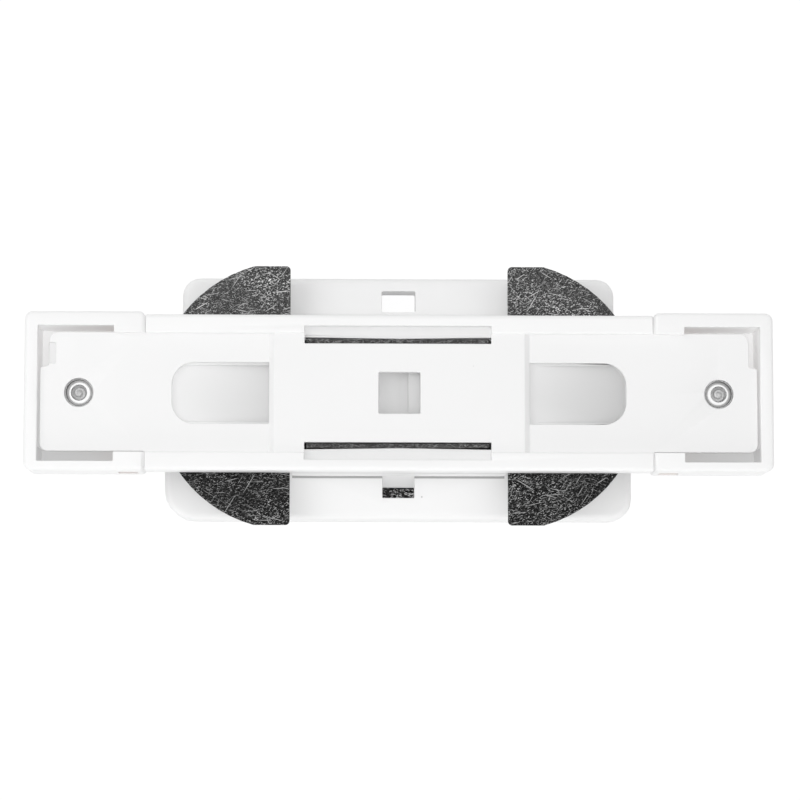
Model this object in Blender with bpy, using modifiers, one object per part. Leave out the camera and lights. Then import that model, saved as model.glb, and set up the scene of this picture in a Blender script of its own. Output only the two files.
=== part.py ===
"""An inline connector for lighting track: a moulded bar with a plug head at each end, an insulating
cover over three copper links, a stamped steel fixing plate with half-disc wings, and a flanged base.

It lies on the room-side face of its base. X runs along the bar, +Y is the side with the release
hole and +Z is the side that goes into the tracks. The origin is at the middle of the base's face.
"""

import math

import bmesh
import bpy
from mathutils import Matrix

MM = 0.001

# Clearances
SEAT = 0.3 * MM
SLIDE = 0.35 * MM
SCREW_CLEARANCE = 0.3 * MM

# Base and face cover
FLANGE_DEPTH = 52.8 * MM
FLANGE_FRONT_WIDTH = 101.2 * MM
FLANGE_STEP = 3.6 * MM
FLANGE_HEIGHT = 8.7 * MM
FLANGE_STEP_Y = -4.0 * MM
FLANGE_STEP_CORNER = 1.6 * MM
FRONT_LEFT_CORNER = 6.4 * MM
FRONT_RIGHT_CORNER = 4.6 * MM
BACK_CORNER = 3.8 * MM
FLANGE_EDGE_ROUND = 1.5 * MM
BASE_WALL = 1.8 * MM
PEDESTAL_HEIGHT = 6.2 * MM
PEDESTAL_SETBACK = 2.6 * MM
PEDESTAL_CORNER = 1.5 * MM
FACE_THICKNESS = 1.6 * MM
FACE_CLIP_LENGTH = 12.0 * MM
FACE_CLIP_THICKNESS = 1.2 * MM
RELEASE_HOLE = (7.3 * MM, 4.6 * MM)
RELEASE_HOLE_EDGE = 2.9 * MM
RELEASE_HOLE_CORNER = 0.4 * MM
NOTCH_WIDTH = 6.9 * MM
NOTCH_DEPTH = 4.9 * MM
NOTCH_RAMP_DEPTH = 2.5 * MM
NOTCH_LIP = 0.8 * MM

# Steel fixing plate
WING_SPACING = 46.8 * MM
WING_RADIUS = 28.95 * MM
WING_TRIM = 1.05 * MM
PLATE_THICKNESS = 1.0 * MM
WING_CORNER = 0.9 * MM
WAIST_WIDTH = 18.0 * MM
FOLD_LENGTH = 39.8 * MM
FOLD_SPREAD = 22.5 * MM
FOLD_HEIGHT = 4.4 * MM
FOLD_BEND = 1.4 * MM

# Bar housing
WING_END_ROOM = 1.75 * MM
BAR_WIDTH = 33.4 * MM
RIM_THICKNESS = 4.0 * MM
RIM_STAND = 1.6 * MM
RIM_ROUND = 0.8 * MM
FLOOR_THICKNESS = 1.2 * MM
SKIRT_THICKNESS = 1.5 * MM
SKIRT_PROUD = 0.25 * MM
SKIRT_FOOT_GAP = 0.9 * MM
SKIRT_CHAMFER = 1.2 * MM
LEDGE_LENGTH = 36.4 * MM
LEDGE_THICKNESS = 1.0 * MM
TONGUE_LENGTH = 6.0 * MM
TONGUE_WIDTH = 11.0 * MM
LANE_RIB = 0.5 * MM
POCKET_SHALLOW = 1.3 * MM
POCKET_DEEP = 2.8 * MM

# Plug heads
HEAD_LENGTH = 25.4 * MM
HEAD_STAND = 0.6 * MM
HEAD_HEIGHT = 13.0 * MM
HEAD_END_WALL = 2.8 * MM
HEAD_BACK_WALL = 3.0 * MM
HEAD_FRONT_WALL = 2.0 * MM
HEAD_FLOOR = 1.6 * MM
HEAD_CORNER = 1.7 * MM
HEAD_JOINT_CORNER = 0.96 * MM
HEAD_INNER_WALL = 1.6 * MM
HEAD_BLOCK_LENGTH = 6.4 * MM
JOINT_GAP = 0.35 * MM
CONTACT_WINDOW = (4.2 * MM, 5.4 * MM)

# Insulating cover
COVER_THICKNESS = 1.2 * MM
COVER_STEP = 1.1 * MM
COVER_END_GAP = 0.5 * MM
COVER_CORNER = 1.6 * MM
CORNER_NOTCH = (1.8 * MM, 7.0 * MM)
CORNER_LEDGE = 1.5 * MM
CENTRE_LENGTH = 55.6 * MM
POCKET_LENGTH = 20.2 * MM
POCKET_WIDTH = 13.2 * MM
POCKET_ROUND = 4.8 * MM
CENTRE_WINDOW = 8.9 * MM
WINDOW_CORNER = 0.3 * MM
WINDOW_SHELF = (2.2 * MM, 1.2 * MM)
WELL_DEPTH = 1.3 * MM
WELL_DIAMETER = 6.2 * MM
SCREW_FROM_END = 11.55 * MM

# Screws
SCREW_DIAMETER = 2.9 * MM
SCREW_HEAD_DIAMETER = 5.6 * MM
SCREW_HEAD_HEIGHT = 1.8 * MM
SCREW_POINT = 2.0 * MM
SCREW_BOSS_WALL = 2.0 * MM
BOSS_WEB = 1.5 * MM
PLATE_SCREW_SPACING = 73.0 * MM
RECESS_WIDTH = 0.8 * MM
WASHER_THICKNESS = 0.5 * MM

# Copper links, contact leaves and rivets
LINK_WIDTH = 2.2 * MM
LINK_THICKNESS = 0.6 * MM
LINK_SPREAD = 15.8 * MM
EARTH_Y = 5.7 * MM
EARTH_WIDTH = 1.8 * MM
LEAF_THICKNESS = 0.5 * MM
LEAF_WIDTH = 3.4 * MM
LEAF_NOSE = 0.4 * MM
RIVET_DIAMETER = 1.1 * MM
RIVET_HEAD_DIAMETER = 1.9 * MM
RIVET_HEAD_HEIGHT = 0.4 * MM
RIVET_FIT = 0.1 * MM

# Catch in the front notch
CATCH_WIDTH = 7.8 * MM
CATCH_THICKNESS = 0.8 * MM
CATCH_FOOT = 9.0 * MM
CATCH_BEND = 0.6 * MM

# Heights, built up from the base's face
FLANGE_TOP = FLANGE_HEIGHT
PEDESTAL_TOP = FLANGE_TOP + PEDESTAL_HEIGHT
PLATE_LOW = PEDESTAL_TOP + SEAT
PLATE_TOP = PLATE_LOW + PLATE_THICKNESS
FLOOR_LOW = PLATE_TOP + SEAT
FLOOR_TOP = FLOOR_LOW + FLOOR_THICKNESS
LINK_LOW = FLOOR_TOP + SEAT
LINK_TOP = LINK_LOW + LINK_THICKNESS
COVER_LOW = LINK_TOP + RIVET_HEAD_HEIGHT + 2 * SEAT
COVER_TOP = COVER_LOW + COVER_THICKNESS
CENTRE_TOP = COVER_TOP + COVER_STEP
RIM_TOP = COVER_TOP + RIM_STAND
HEAD_LOW = RIM_TOP - HEAD_HEIGHT
EARTH_LOW = PLATE_TOP + SEAT
EARTH_TOP = EARTH_LOW + LEAF_THICKNESS

# Places along and across the bar
FLANGE_BACK_WIDTH = FLANGE_FRONT_WIDTH - 2 * FLANGE_STEP
PLATE_EDGE = WING_RADIUS - WING_TRIM
BAR_END = WING_SPACING / 2 + WING_RADIUS + WING_END_ROOM
CHANNEL = BAR_WIDTH / 2 - RIM_THICKNESS
HEAD_START = BAR_END + JOINT_GAP
HEAD_END = HEAD_START + HEAD_LENGTH
HEAD_BACK = BAR_WIDTH / 2 + HEAD_STAND
HEAD_FRONT = BAR_WIDTH / 2
CAVITY = {-1: HEAD_FRONT - HEAD_FRONT_WALL, 1: HEAD_BACK - HEAD_BACK_WALL}
CAVITY_START = HEAD_START + HEAD_INNER_WALL
CAVITY_END = HEAD_END - HEAD_END_WALL
COVER_END = CAVITY_END - COVER_END_GAP
COVER_EDGE = CHANNEL - SLIDE
POCKET_INNER = CENTRE_LENGTH / 2
POCKET_OUTER = POCKET_INNER + POCKET_LENGTH
LEAF_X = CAVITY_START + SLIDE + LEAF_WIDTH / 2
LINK_END = LEAF_X + LEAF_WIDTH / 2
EARTH_RIVET_X = BAR_END + TONGUE_LENGTH + RIVET_HEAD_DIAMETER / 2 + SLIDE
EARTH_END = EARTH_RIVET_X + RIVET_HEAD_DIAMETER / 2
SCREW_X = HEAD_END - SCREW_FROM_END
PLATE_SCREW_X = PLATE_SCREW_SPACING / 2
SHANK_ROOM = SCREW_DIAMETER / 2 + SCREW_CLEARANCE
HEAD_ROOM = SCREW_HEAD_DIAMETER / 2 + SCREW_CLEARANCE
HOLE_Y = FLANGE_DEPTH / 2 - RELEASE_HOLE_EDGE - RELEASE_HOLE[1] / 2
NOTCH_Y = -BAR_WIDTH / 2
NOTCH_FRONT = NOTCH_Y - NOTCH_DEPTH
NOTCH_LIP_TOP = FLANGE_TOP - BASE_WALL - NOTCH_LIP
NOTCH_LIP_LOW = NOTCH_LIP_TOP - NOTCH_LIP
BOSS_LOW = COVER_LOW - BOSS_WEB
HEAD_BOSS_TOP = BOSS_LOW - SEAT
WELL_FLOOR = COVER_TOP - WELL_DEPTH

# How a profile's own axes lie for each direction that it is extruded in
TURN = {
    "X": Matrix(((0, 0, 1, 0), (1, 0, 0, 0), (0, 1, 0, 0), (0, 0, 0, 1))),
    "Y": Matrix(((1, 0, 0, 0), (0, 0, -1, 0), (0, 1, 0, 0), (0, 0, 0, 1))),
    "Z": Matrix.Identity(4),
}
OVERRUN = 1.0 * MM


def clear_scene():
    for obj in list(bpy.data.objects):
        bpy.data.objects.remove(obj, do_unlink=True)


def new_collection(name):
    collection = bpy.data.collections.new(name)
    bpy.context.scene.collection.children.link(collection)
    return collection


def new_material(name, color, roughness, metallic=0.0):
    material = bpy.data.materials.new(name)
    material.use_nodes = True
    shader = material.node_tree.nodes["Principled BSDF"]
    shader.inputs["Base Color"].default_value = (*color, 1)
    shader.inputs["Roughness"].default_value = roughness
    shader.inputs["Metallic"].default_value = metallic
    material.diffuse_color = (*color, 1)
    return material


clear_scene()
PARTS = new_collection("lighting_track_connector")
CUTTERS = new_collection("cutters")
CUTTERS.hide_render = True

WHITE = new_material("white_plastic", (0.86, 0.86, 0.86), 0.38)
STEEL = new_material("dark_steel", (0.12, 0.12, 0.12), 0.35, 1.0)
ZINC = new_material("zinc_steel", (0.55, 0.55, 0.55), 0.32, 1.0)
COPPER = new_material("copper", (0.78, 0.42, 0.24), 0.30, 1.0)


# Outlines

def rounded(corners, steps=5):
    """A closed outline from its corners (x, y, radius), each turned into an arc."""
    points = []
    count = len(corners)
    for index, (x, y, radius) in enumerate(corners):
        before = corners[index - 1]
        after = corners[(index + 1) % count]
        if radius <= 0:
            points.append((x, y))
            continue
        came = math.atan2(before[1] - y, before[0] - x)
        goes = math.atan2(after[1] - y, after[0] - x)
        opening = (goes - came + math.pi) % (2 * math.pi) - math.pi
        middle = came + opening / 2
        reach = radius / math.sin(abs(opening) / 2)
        centre_x = x + reach * math.cos(middle)
        centre_y = y + reach * math.sin(middle)
        sweep = math.pi - abs(opening)
        side = 1 if opening > 0 else -1
        for step in range(steps + 1):
            angle = middle + math.pi + side * sweep * (0.5 - step / steps)
            points.append((centre_x + radius * math.cos(angle), centre_y + radius * math.sin(angle)))
    return points


def rectangle(low, high, radius=0.0, steps=4):
    corners = [(low[0], low[1]), (high[0], low[1]), (high[0], high[1]), (low[0], high[1])]
    return rounded([(x, y, radius) for x, y in corners], steps)


def circle(x, y, radius, steps=32):
    turns = [2 * math.pi * step / steps for step in range(steps)]
    return [(x + radius * math.cos(turn), y + radius * math.sin(turn)) for turn in turns]


def mirrored(outline, axis):
    """The outline with its x (axis 0) or y (axis 1) turned round, still running the same way."""
    signs = (-1, 1) if axis == 0 else (1, -1)
    return [(x * signs[0], y * signs[1]) for x, y in reversed(outline)]


def strip(path, thickness):
    """The outline of a bent strip whose middle line is the path."""
    left = []
    right = []
    for index, (x, y) in enumerate(path):
        before = path[max(index - 1, 0)]
        after = path[min(index + 1, len(path) - 1)]
        heading = math.atan2(after[1] - before[1], after[0] - before[0])
        shift = (-math.sin(heading) * thickness / 2, math.cos(heading) * thickness / 2)
        left.append((x + shift[0], y + shift[1]))
        right.append((x - shift[0], y - shift[1]))
    return left + right[::-1]


# Solids

def place(obj, collection):
    for holder in list(obj.users_collection):
        holder.objects.unlink(obj)
    collection.objects.link(obj)
    return obj


def extrusion(name, loops, low, high, along="Z"):
    """A flat outline, with any further loops as holes, given thickness from low to high."""
    curve = bpy.data.curves.new(name, "CURVE")
    curve.dimensions = "2D"
    curve.fill_mode = "BOTH"
    curve.extrude = (high - low) / 2
    for loop in loops:
        spline = curve.splines.new("POLY")
        spline.points.add(len(loop) - 1)
        for point, (x, y) in zip(spline.points, loop):
            point.co = (x, y, 0, 1)
        spline.use_cyclic_u = True
    flat = bpy.data.objects.new(name, curve)
    bpy.context.scene.collection.objects.link(flat)
    middle = (low + high) / 2
    shift = {"X": (middle, 0, 0), "Y": (0, middle, 0), "Z": (0, 0, middle)}[along]
    flat.matrix_world = Matrix.Translation(shift) @ TURN[along]
    bpy.context.view_layer.update()
    graph = bpy.context.evaluated_depsgraph_get()
    mesh = bpy.data.meshes.new_from_object(flat.evaluated_get(graph))
    mesh.transform(flat.matrix_world)
    bpy.data.objects.remove(flat, do_unlink=True)
    bpy.data.curves.remove(curve)
    weld(mesh)
    mesh.name = name
    return place(bpy.data.objects.new(name, mesh), PARTS)


def weld(mesh):
    work = bmesh.new()
    work.from_mesh(mesh)
    bmesh.ops.remove_doubles(work, verts=work.verts, dist=1e-6)
    bmesh.ops.dissolve_limit(work, angle_limit=math.radians(0.1), verts=work.verts, edges=work.edges)
    bmesh.ops.recalc_face_normals(work, faces=work.faces)
    work.to_mesh(mesh)
    work.free()


def box(name, low, high):
    """A box between two corners, placed at its own middle."""
    work = bmesh.new()
    bmesh.ops.create_cube(work, size=1)
    bmesh.ops.scale(work, vec=[b - a for a, b in zip(low, high)], verts=work.verts)
    mesh = bpy.data.meshes.new(name)
    work.to_mesh(mesh)
    work.free()
    obj = place(bpy.data.objects.new(name, mesh), PARTS)
    obj.location = [(a + b) / 2 for a, b in zip(low, high)]
    return obj


def pillar(name, x, radius, low, high, y=0.0, steps=24):
    """An upright cylinder, for a boss or a drilled hole."""
    work = bmesh.new()
    tall = high - low
    bmesh.ops.create_cone(work, cap_ends=True, segments=steps, radius1=radius, radius2=radius, depth=tall)
    mesh = bpy.data.meshes.new(name)
    work.to_mesh(mesh)
    work.free()
    obj = place(bpy.data.objects.new(name, mesh), PARTS)
    obj.location = (x, y, (low + high) / 2)
    return obj


def turned(name, profile, place_at, steps=24):
    """A round piece from its outer profile (radius, height), top to bottom, standing at a point."""
    mesh = bpy.data.meshes.new(name)
    work = bmesh.new()
    points = [work.verts.new((radius, 0, height)) for radius, height in profile]
    for first, second in zip(points, points[1:]):
        work.edges.new((first, second))
    work.to_mesh(mesh)
    work.free()
    obj = place(bpy.data.objects.new(name, mesh), PARTS)
    obj.location = place_at
    screw = obj.modifiers.new("turn", "SCREW")
    screw.steps = steps
    screw.render_steps = steps
    screw.use_merge_vertices = True
    screw.merge_threshold = 1e-6
    return obj


def helper(obj, name):
    obj.name = name
    obj.hide_render = True
    obj.display_type = "WIRE"
    return place(obj, CUTTERS)


def combine(obj, tool, operation):
    boolean = obj.modifiers.new(f"{operation.lower()}_{tool.name}", "BOOLEAN")
    boolean.operation = operation
    boolean.solver = "EXACT"
    boolean.object = helper(tool, f"{obj.name}_{tool.name}")
    return obj


def cut(obj, tool):
    return combine(obj, tool, "DIFFERENCE")


def add(obj, tool):
    return combine(obj, tool, "UNION")


def finish(obj, material):
    obj.data.materials.clear()
    obj.data.materials.append(material)
    obj.data.shade_smooth()
    obj.data.set_sharp_from_angle(angle=math.radians(35))
    return obj


# Base

def flange_outline(inset):
    """The base's outline seen from above, wider in front of the step that the bar hides."""
    front = FLANGE_FRONT_WIDTH / 2 - inset
    back = FLANGE_BACK_WIDTH / 2 - inset
    low = -FLANGE_DEPTH / 2 + inset
    high = FLANGE_DEPTH / 2 - inset
    step = FLANGE_STEP_Y - inset
    corners = [
        (-front, low, FRONT_LEFT_CORNER - inset),
        (front, low, FRONT_RIGHT_CORNER - inset),
        (front, step, FLANGE_STEP_CORNER),
        (back, step, FLANGE_STEP_CORNER),
        (back, high, BACK_CORNER - inset),
        (-back, high, BACK_CORNER - inset),
        (-back, step, FLANGE_STEP_CORNER),
        (-front, step, FLANGE_STEP_CORNER),
    ]
    return rounded(corners)


def release_hole(margin):
    half_x = RELEASE_HOLE[0] / 2 + margin
    half_y = RELEASE_HOLE[1] / 2 + margin
    return rectangle((-half_x, HOLE_Y - half_y), (half_x, HOLE_Y + half_y), RELEASE_HOLE_CORNER + margin)


def pedestal_outline(inset):
    half_x = FLANGE_BACK_WIDTH / 2 - PEDESTAL_SETBACK - inset
    half_y = BAR_WIDTH / 2 - SKIRT_THICKNESS - SLIDE - inset
    return rectangle((-half_x, -half_y), (half_x, half_y), PEDESTAL_CORNER)


def base_housing():
    base = extrusion("base_housing", [flange_outline(0)], 0, FLANGE_TOP)
    round_top_edge(base, FLANGE_TOP, FLANGE_EDGE_ROUND)
    add(base, extrusion("pedestal", [pedestal_outline(0)], FLANGE_TOP - OVERRUN, PEDESTAL_TOP))
    cut(base, extrusion("inside", [flange_outline(BASE_WALL)], -OVERRUN, FLANGE_TOP - BASE_WALL))
    cut(base, extrusion("pedestal_inside", [pedestal_outline(BASE_WALL)], 0, PEDESTAL_TOP - BASE_WALL))
    sleeve_low = FACE_THICKNESS + SEAT
    sleeve_top = FLANGE_TOP - OVERRUN / 2
    add(base, extrusion("release_sleeve", [release_hole(BASE_WALL / 2)], sleeve_low, sleeve_top))
    cut(base, extrusion("release_hole", [release_hole(0)], -OVERRUN, FLANGE_TOP + OVERRUN))
    low, high = catch_room(BASE_WALL / 2)
    add(base, box("catch_walls", (*low, catch_top() + SEAT), (*high, FLANGE_TOP - BASE_WALL / 2)))
    low, high = catch_room(0)
    cut(base, box("catch_room", (*low, 0), (*high, NOTCH_LIP_LOW)))
    cut(base, extrusion("notch", [notch_side()], -NOTCH_WIDTH / 2, NOTCH_WIDTH / 2, "X"))
    for side in (-1, 1):
        screw_x = side * PLATE_SCREW_X
        low = plate_screw_seat() - 2 * SCREW_HEAD_HEIGHT
        add(base, pillar("boss", screw_x, HEAD_ROOM + BASE_WALL, low, PEDESTAL_TOP - BASE_WALL / 2))
        cut(base, pillar("screw_seat", screw_x, HEAD_ROOM, low - OVERRUN, plate_screw_seat()))
        cut(base, pillar("screw_hole", screw_x, SHANK_ROOM, low, PEDESTAL_TOP + OVERRUN))
        for row in (-1, 1):
            cut(base, clip_slot(side, row))
    return finish(base, WHITE)


def plate_screw_seat():
    """The height of the face that a plate screw's head bears on."""
    return PEDESTAL_TOP - BASE_WALL - BOSS_WEB


def round_top_edge(obj, height, radius):
    """Rounds the outer edge of an extrusion's top face, by bevel weights on its edges."""
    weights = obj.data.attributes.new("bevel_weight_edge", "FLOAT", "EDGE")
    for edge in obj.data.edges:
        ends = [obj.data.vertices[index].co for index in edge.vertices]
        if all(abs(end.z - height) < 1e-6 for end in ends):
            weights.data[edge.index].value = 1.0
    bevel = obj.modifiers.new("edge_round", "BEVEL")
    bevel.limit_method = "WEIGHT"
    bevel.width = radius
    bevel.segments = 3


def catch_room(margin):
    """The room under the notch that the catch's blade stands in, seen from above."""
    half = CATCH_WIDTH / 2 + SLIDE + margin
    return (-half, NOTCH_FRONT - SLIDE - margin), (half, NOTCH_Y + SEAT + margin)


def notch_side():
    """The notch's section along Y: a ramp next to the bar, and an open mouth in front of it."""
    ramp_foot = NOTCH_Y - NOTCH_RAMP_DEPTH
    return [
        (NOTCH_Y + SEAT, FLANGE_TOP + OVERRUN),
        (NOTCH_Y + SEAT, FLANGE_TOP - OVERRUN / 2),
        (ramp_foot, NOTCH_LIP_TOP),
        (ramp_foot, NOTCH_LIP_LOW - SEAT),
        (NOTCH_FRONT, NOTCH_LIP_LOW - SEAT),
        (NOTCH_FRONT, FLANGE_TOP + OVERRUN),
    ]


def clip_place(side, row, margin):
    """The space of one of the face cover's four clips, against the flange's inner wall."""
    middle = side * FLANGE_BACK_WIDTH / 4
    wall = FLANGE_DEPTH / 2 - BASE_WALL - SEAT
    near = row * (wall - FACE_CLIP_THICKNESS - margin)
    far = row * (wall + margin)
    half = FACE_CLIP_LENGTH / 2 + margin
    return (middle - half, min(near, far)), (middle + half, max(near, far))


def clip_hook_height():
    return FLANGE_TOP - BASE_WALL - 3 * SEAT - FACE_CLIP_THICKNESS


def clip_slot(side, row):
    """A shallow recess in the flange's inner wall, for the hook of one clip."""
    low, high = clip_place(side, row, SEAT)
    reach = row * (FLANGE_DEPTH / 2 - BASE_WALL / 2)
    near = row * (FLANGE_DEPTH / 2 - BASE_WALL - SEAT)
    bottom = clip_hook_height() - SEAT
    outline_low = (low[0], min(near, reach), bottom)
    outline_high = (high[0], max(near, reach), bottom + FACE_CLIP_THICKNESS + 2 * SEAT)
    return box("clip_slot", outline_low, outline_high)


def face_cover():
    outline = flange_outline(BASE_WALL + SLIDE)
    cover = extrusion("face_cover", [outline, release_hole(SEAT)], 0, FACE_THICKNESS)
    top = clip_hook_height() + FACE_CLIP_THICKNESS
    for side in (-1, 1):
        for row in (-1, 1):
            low, high = clip_place(side, row, 0)
            add(cover, box("clip", (*low, FACE_THICKNESS / 2), (*high, top)))
            near = row * (FLANGE_DEPTH / 2 - BASE_WALL - 2 * SEAT)
            reach = row * (FLANGE_DEPTH / 2 - BASE_WALL / 2 - SEAT)
            hook_low = (low[0], min(near, reach), clip_hook_height())
            hook_high = (high[0], max(near, reach), top)
            add(cover, box("hook", hook_low, hook_high))
    return finish(cover, WHITE)


def catch_top():
    """The height of the catch's foot, which lies on the face cover."""
    return FACE_THICKNESS + SEAT + CATCH_THICKNESS


def front_catch():
    """A steel leaf lying on the face cover, whose raised blade shows in the notch."""
    riser = NOTCH_Y - CATCH_THICKNESS / 2
    low = FACE_THICKNESS + SEAT + CATCH_THICKNESS / 2
    high = NOTCH_LIP_LOW - SEAT - CATCH_THICKNESS / 2
    path = [
        (NOTCH_Y + CATCH_FOOT, low),
        (riser + CATCH_BEND, low),
        (riser, low + CATCH_BEND),
        (riser, high - CATCH_BEND),
        (riser - CATCH_BEND, high),
        (NOTCH_FRONT, high),
    ]
    outline = strip(path, CATCH_THICKNESS)
    catch = extrusion("front_catch", [outline], -CATCH_WIDTH / 2, CATCH_WIDTH / 2, "X")
    return finish(catch, STEEL)


# Fixing plate

def wing_outline():
    """The right wing: a half disc cut straight in front and behind, joined to the waist."""
    inner = WING_SPACING / 2
    edge = PLATE_EDGE
    trim = math.asin(edge / WING_RADIUS)
    steps = 28
    arc = []
    for step in range(steps + 1):
        angle = -trim + 2 * trim * step / steps
        arc.append((inner + WING_RADIUS * math.cos(angle), WING_RADIUS * math.sin(angle)))
    lower = rounded([(inner, -WAIST_WIDTH / 2, 0), (inner, -edge, WING_CORNER), (arc[0][0], -edge, 0)])
    return lower[:-1] + arc + [(x, -y) for x, y in reversed(lower[:-1])]


def fold_side(half, low, bend):
    """One face of the plate's two folded-up sides, seen along the bar."""
    top = PLATE_TOP + FOLD_HEIGHT
    return rounded([(-half, top, 0), (-half, low, bend), (half, low, bend), (half, top, 0)])


def fixing_plate():
    right = wing_outline()
    left = mirrored(right, 0)
    plate = extrusion("fixing_plate", [right + left], PLATE_LOW, PLATE_TOP)
    outer_side = fold_side(FOLD_SPREAD / 2, PLATE_LOW, FOLD_BEND)
    inner_side = fold_side(FOLD_SPREAD / 2 - PLATE_THICKNESS, PLATE_TOP, FOLD_BEND - PLATE_THICKNESS)
    folds = extrusion("folds", [outer_side + inner_side[::-1]], -FOLD_LENGTH / 2, FOLD_LENGTH / 2, "X")
    add(plate, folds)
    low = PLATE_LOW - OVERRUN
    for side in (-1, 1):
        cut(plate, pillar("screw_hole", side * PLATE_SCREW_X, SHANK_ROOM, low, PLATE_TOP + OVERRUN))
    return finish(plate, STEEL)


# Bar housing

def channel_section():
    """The bar's section across its length, with its rims' top edges rounded."""
    outer = BAR_WIDTH / 2
    return rounded(
        [
            (-outer, FLOOR_LOW, 0),
            (outer, FLOOR_LOW, 0),
            (outer, RIM_TOP, RIM_ROUND),
            (CHANNEL, RIM_TOP, RIM_ROUND / 2),
            (CHANNEL, FLOOR_TOP, RIM_ROUND / 2),
            (-CHANNEL, FLOOR_TOP, RIM_ROUND / 2),
            (-CHANNEL, RIM_TOP, RIM_ROUND / 2),
            (-outer, RIM_TOP, RIM_ROUND),
        ],
        steps=3,
    )


def skirt_outline():
    """The skirt between the wings, seen from the front, with its lower ends cut off."""
    half = WING_SPACING / 2 - SLIDE
    low = FLANGE_TOP + SKIRT_FOOT_GAP
    high = FLOOR_LOW + FLOOR_THICKNESS / 2
    return [(-half, high), (-half, low + SKIRT_CHAMFER), (-half + SKIRT_CHAMFER, low),
            (half - SKIRT_CHAMFER, low), (half, low + SKIRT_CHAMFER), (half, high)]


def pocket_outline(side, inset):
    """An oblong pocket: square at the raised centre, with round corners at its outer end."""
    half = POCKET_WIDTH / 2 - inset
    start = POCKET_INNER + inset
    end = POCKET_OUTER - inset
    corner = POCKET_ROUND - inset
    outline = rounded([(start, -half, 0), (end, -half, corner), (end, half, corner), (start, half, 0)], 8)
    return outline if side > 0 else mirrored(outline, 0)


def ramp_section(side):
    """A pocket's floor seen from the front, which falls towards +X."""
    start, end = sorted((side * POCKET_INNER, side * POCKET_OUTER))
    high = COVER_TOP - POCKET_SHALLOW
    low = COVER_TOP - POCKET_DEEP
    return [(start, high), (start, RIM_TOP), (end, RIM_TOP), (end, low)]


def bar_housing():
    bar = extrusion("bar_housing", [channel_section()], -BAR_END, BAR_END, "X")
    end = BAR_END + TONGUE_LENGTH
    add(bar, box("tongue", (-end, -TONGUE_WIDTH / 2, FLOOR_LOW), (end, TONGUE_WIDTH / 2, FLOOR_TOP)))
    for row in (-1, 1):
        near, far = sorted((row * (BAR_WIDTH / 2 - SKIRT_THICKNESS), row * (BAR_WIDTH / 2 + SKIRT_PROUD)))
        add(bar, extrusion("skirt", [skirt_outline()], near, far, "Y"))
        near, far = sorted((row * (CHANNEL - LEDGE_THICKNESS), row * (CHANNEL + RIM_ROUND)))
        low = (-LEDGE_LENGTH / 2, near, FLOOR_LOW + FLOOR_THICKNESS / 2)
        add(bar, box("ledge", low, (LEDGE_LENGTH / 2, far, COVER_TOP - SEAT)))
        for edge in (-1, 1):
            middle = LINK_SPREAD / 2 + edge * (LINK_WIDTH / 2 + SLIDE + LANE_RIB / 2)
            rib_near, rib_far = sorted((row * (middle - LANE_RIB / 2), row * (middle + LANE_RIB / 2)))
            rib_low = (-BAR_END, rib_near, FLOOR_LOW + FLOOR_THICKNESS / 2)
            add(bar, box("lane_rib", rib_low, (BAR_END, rib_far, COVER_LOW - SEAT)))
        fold_outer = FOLD_SPREAD / 2 + SLIDE
        fold_inner = FOLD_SPREAD / 2 - PLATE_THICKNESS - SLIDE
        near, far = sorted((row * fold_inner, row * fold_outer))
        half = FOLD_LENGTH / 2 + SLIDE
        cut(bar, box("fold_slot", (-half, near, FLOOR_LOW - OVERRUN), (half, far, RIM_TOP)))
    for side in (-1, 1):
        floor_low = FLOOR_LOW + FLOOR_THICKNESS / 2
        block = extrusion("pocket_floor", [pocket_outline(side, SLIDE)], floor_low, COVER_TOP)
        cut(block, extrusion("ramp", [ramp_section(side)], -POCKET_WIDTH, POCKET_WIDTH, "Y"))
        add(bar, block)
        top = plate_screw_reach() + SCREW_CLEARANCE
        cut(bar, pillar("pilot", side * PLATE_SCREW_X, SHANK_ROOM, FLOOR_LOW - OVERRUN, top))
    half = CENTRE_WINDOW / 2 - SLIDE
    shelf_low = (half - WINDOW_SHELF[0], -half, FLOOR_TOP - FLOOR_THICKNESS / 2)
    add(bar, box("window_shelf", shelf_low, (half, half, FLOOR_TOP + WINDOW_SHELF[1])))
    groove_low = (-end - OVERRUN, EARTH_Y - EARTH_WIDTH / 2 - SLIDE, FLOOR_LOW - OVERRUN)
    groove_high = (end + OVERRUN, EARTH_Y + EARTH_WIDTH / 2 + SLIDE, EARTH_TOP + SEAT)
    cut(bar, box("earth_groove", groove_low, groove_high))
    return finish(bar, WHITE)


def plate_screw_reach():
    """The height of a plate screw's tip, inside the pocket's floor."""
    return FLOOR_TOP


# Plug heads

def head_outline(side):
    outline = rounded(
        [
            (HEAD_START, -HEAD_FRONT, HEAD_JOINT_CORNER),
            (HEAD_END, -HEAD_FRONT, HEAD_CORNER),
            (HEAD_END, HEAD_BACK, HEAD_CORNER),
            (HEAD_START, HEAD_BACK, HEAD_JOINT_CORNER),
        ]
    )
    return outline if side > 0 else mirrored(outline, 0)


def spanned(side, start, end):
    """Two places along the bar on one side of its middle, lower first."""
    return sorted((side * start, side * end))


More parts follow.
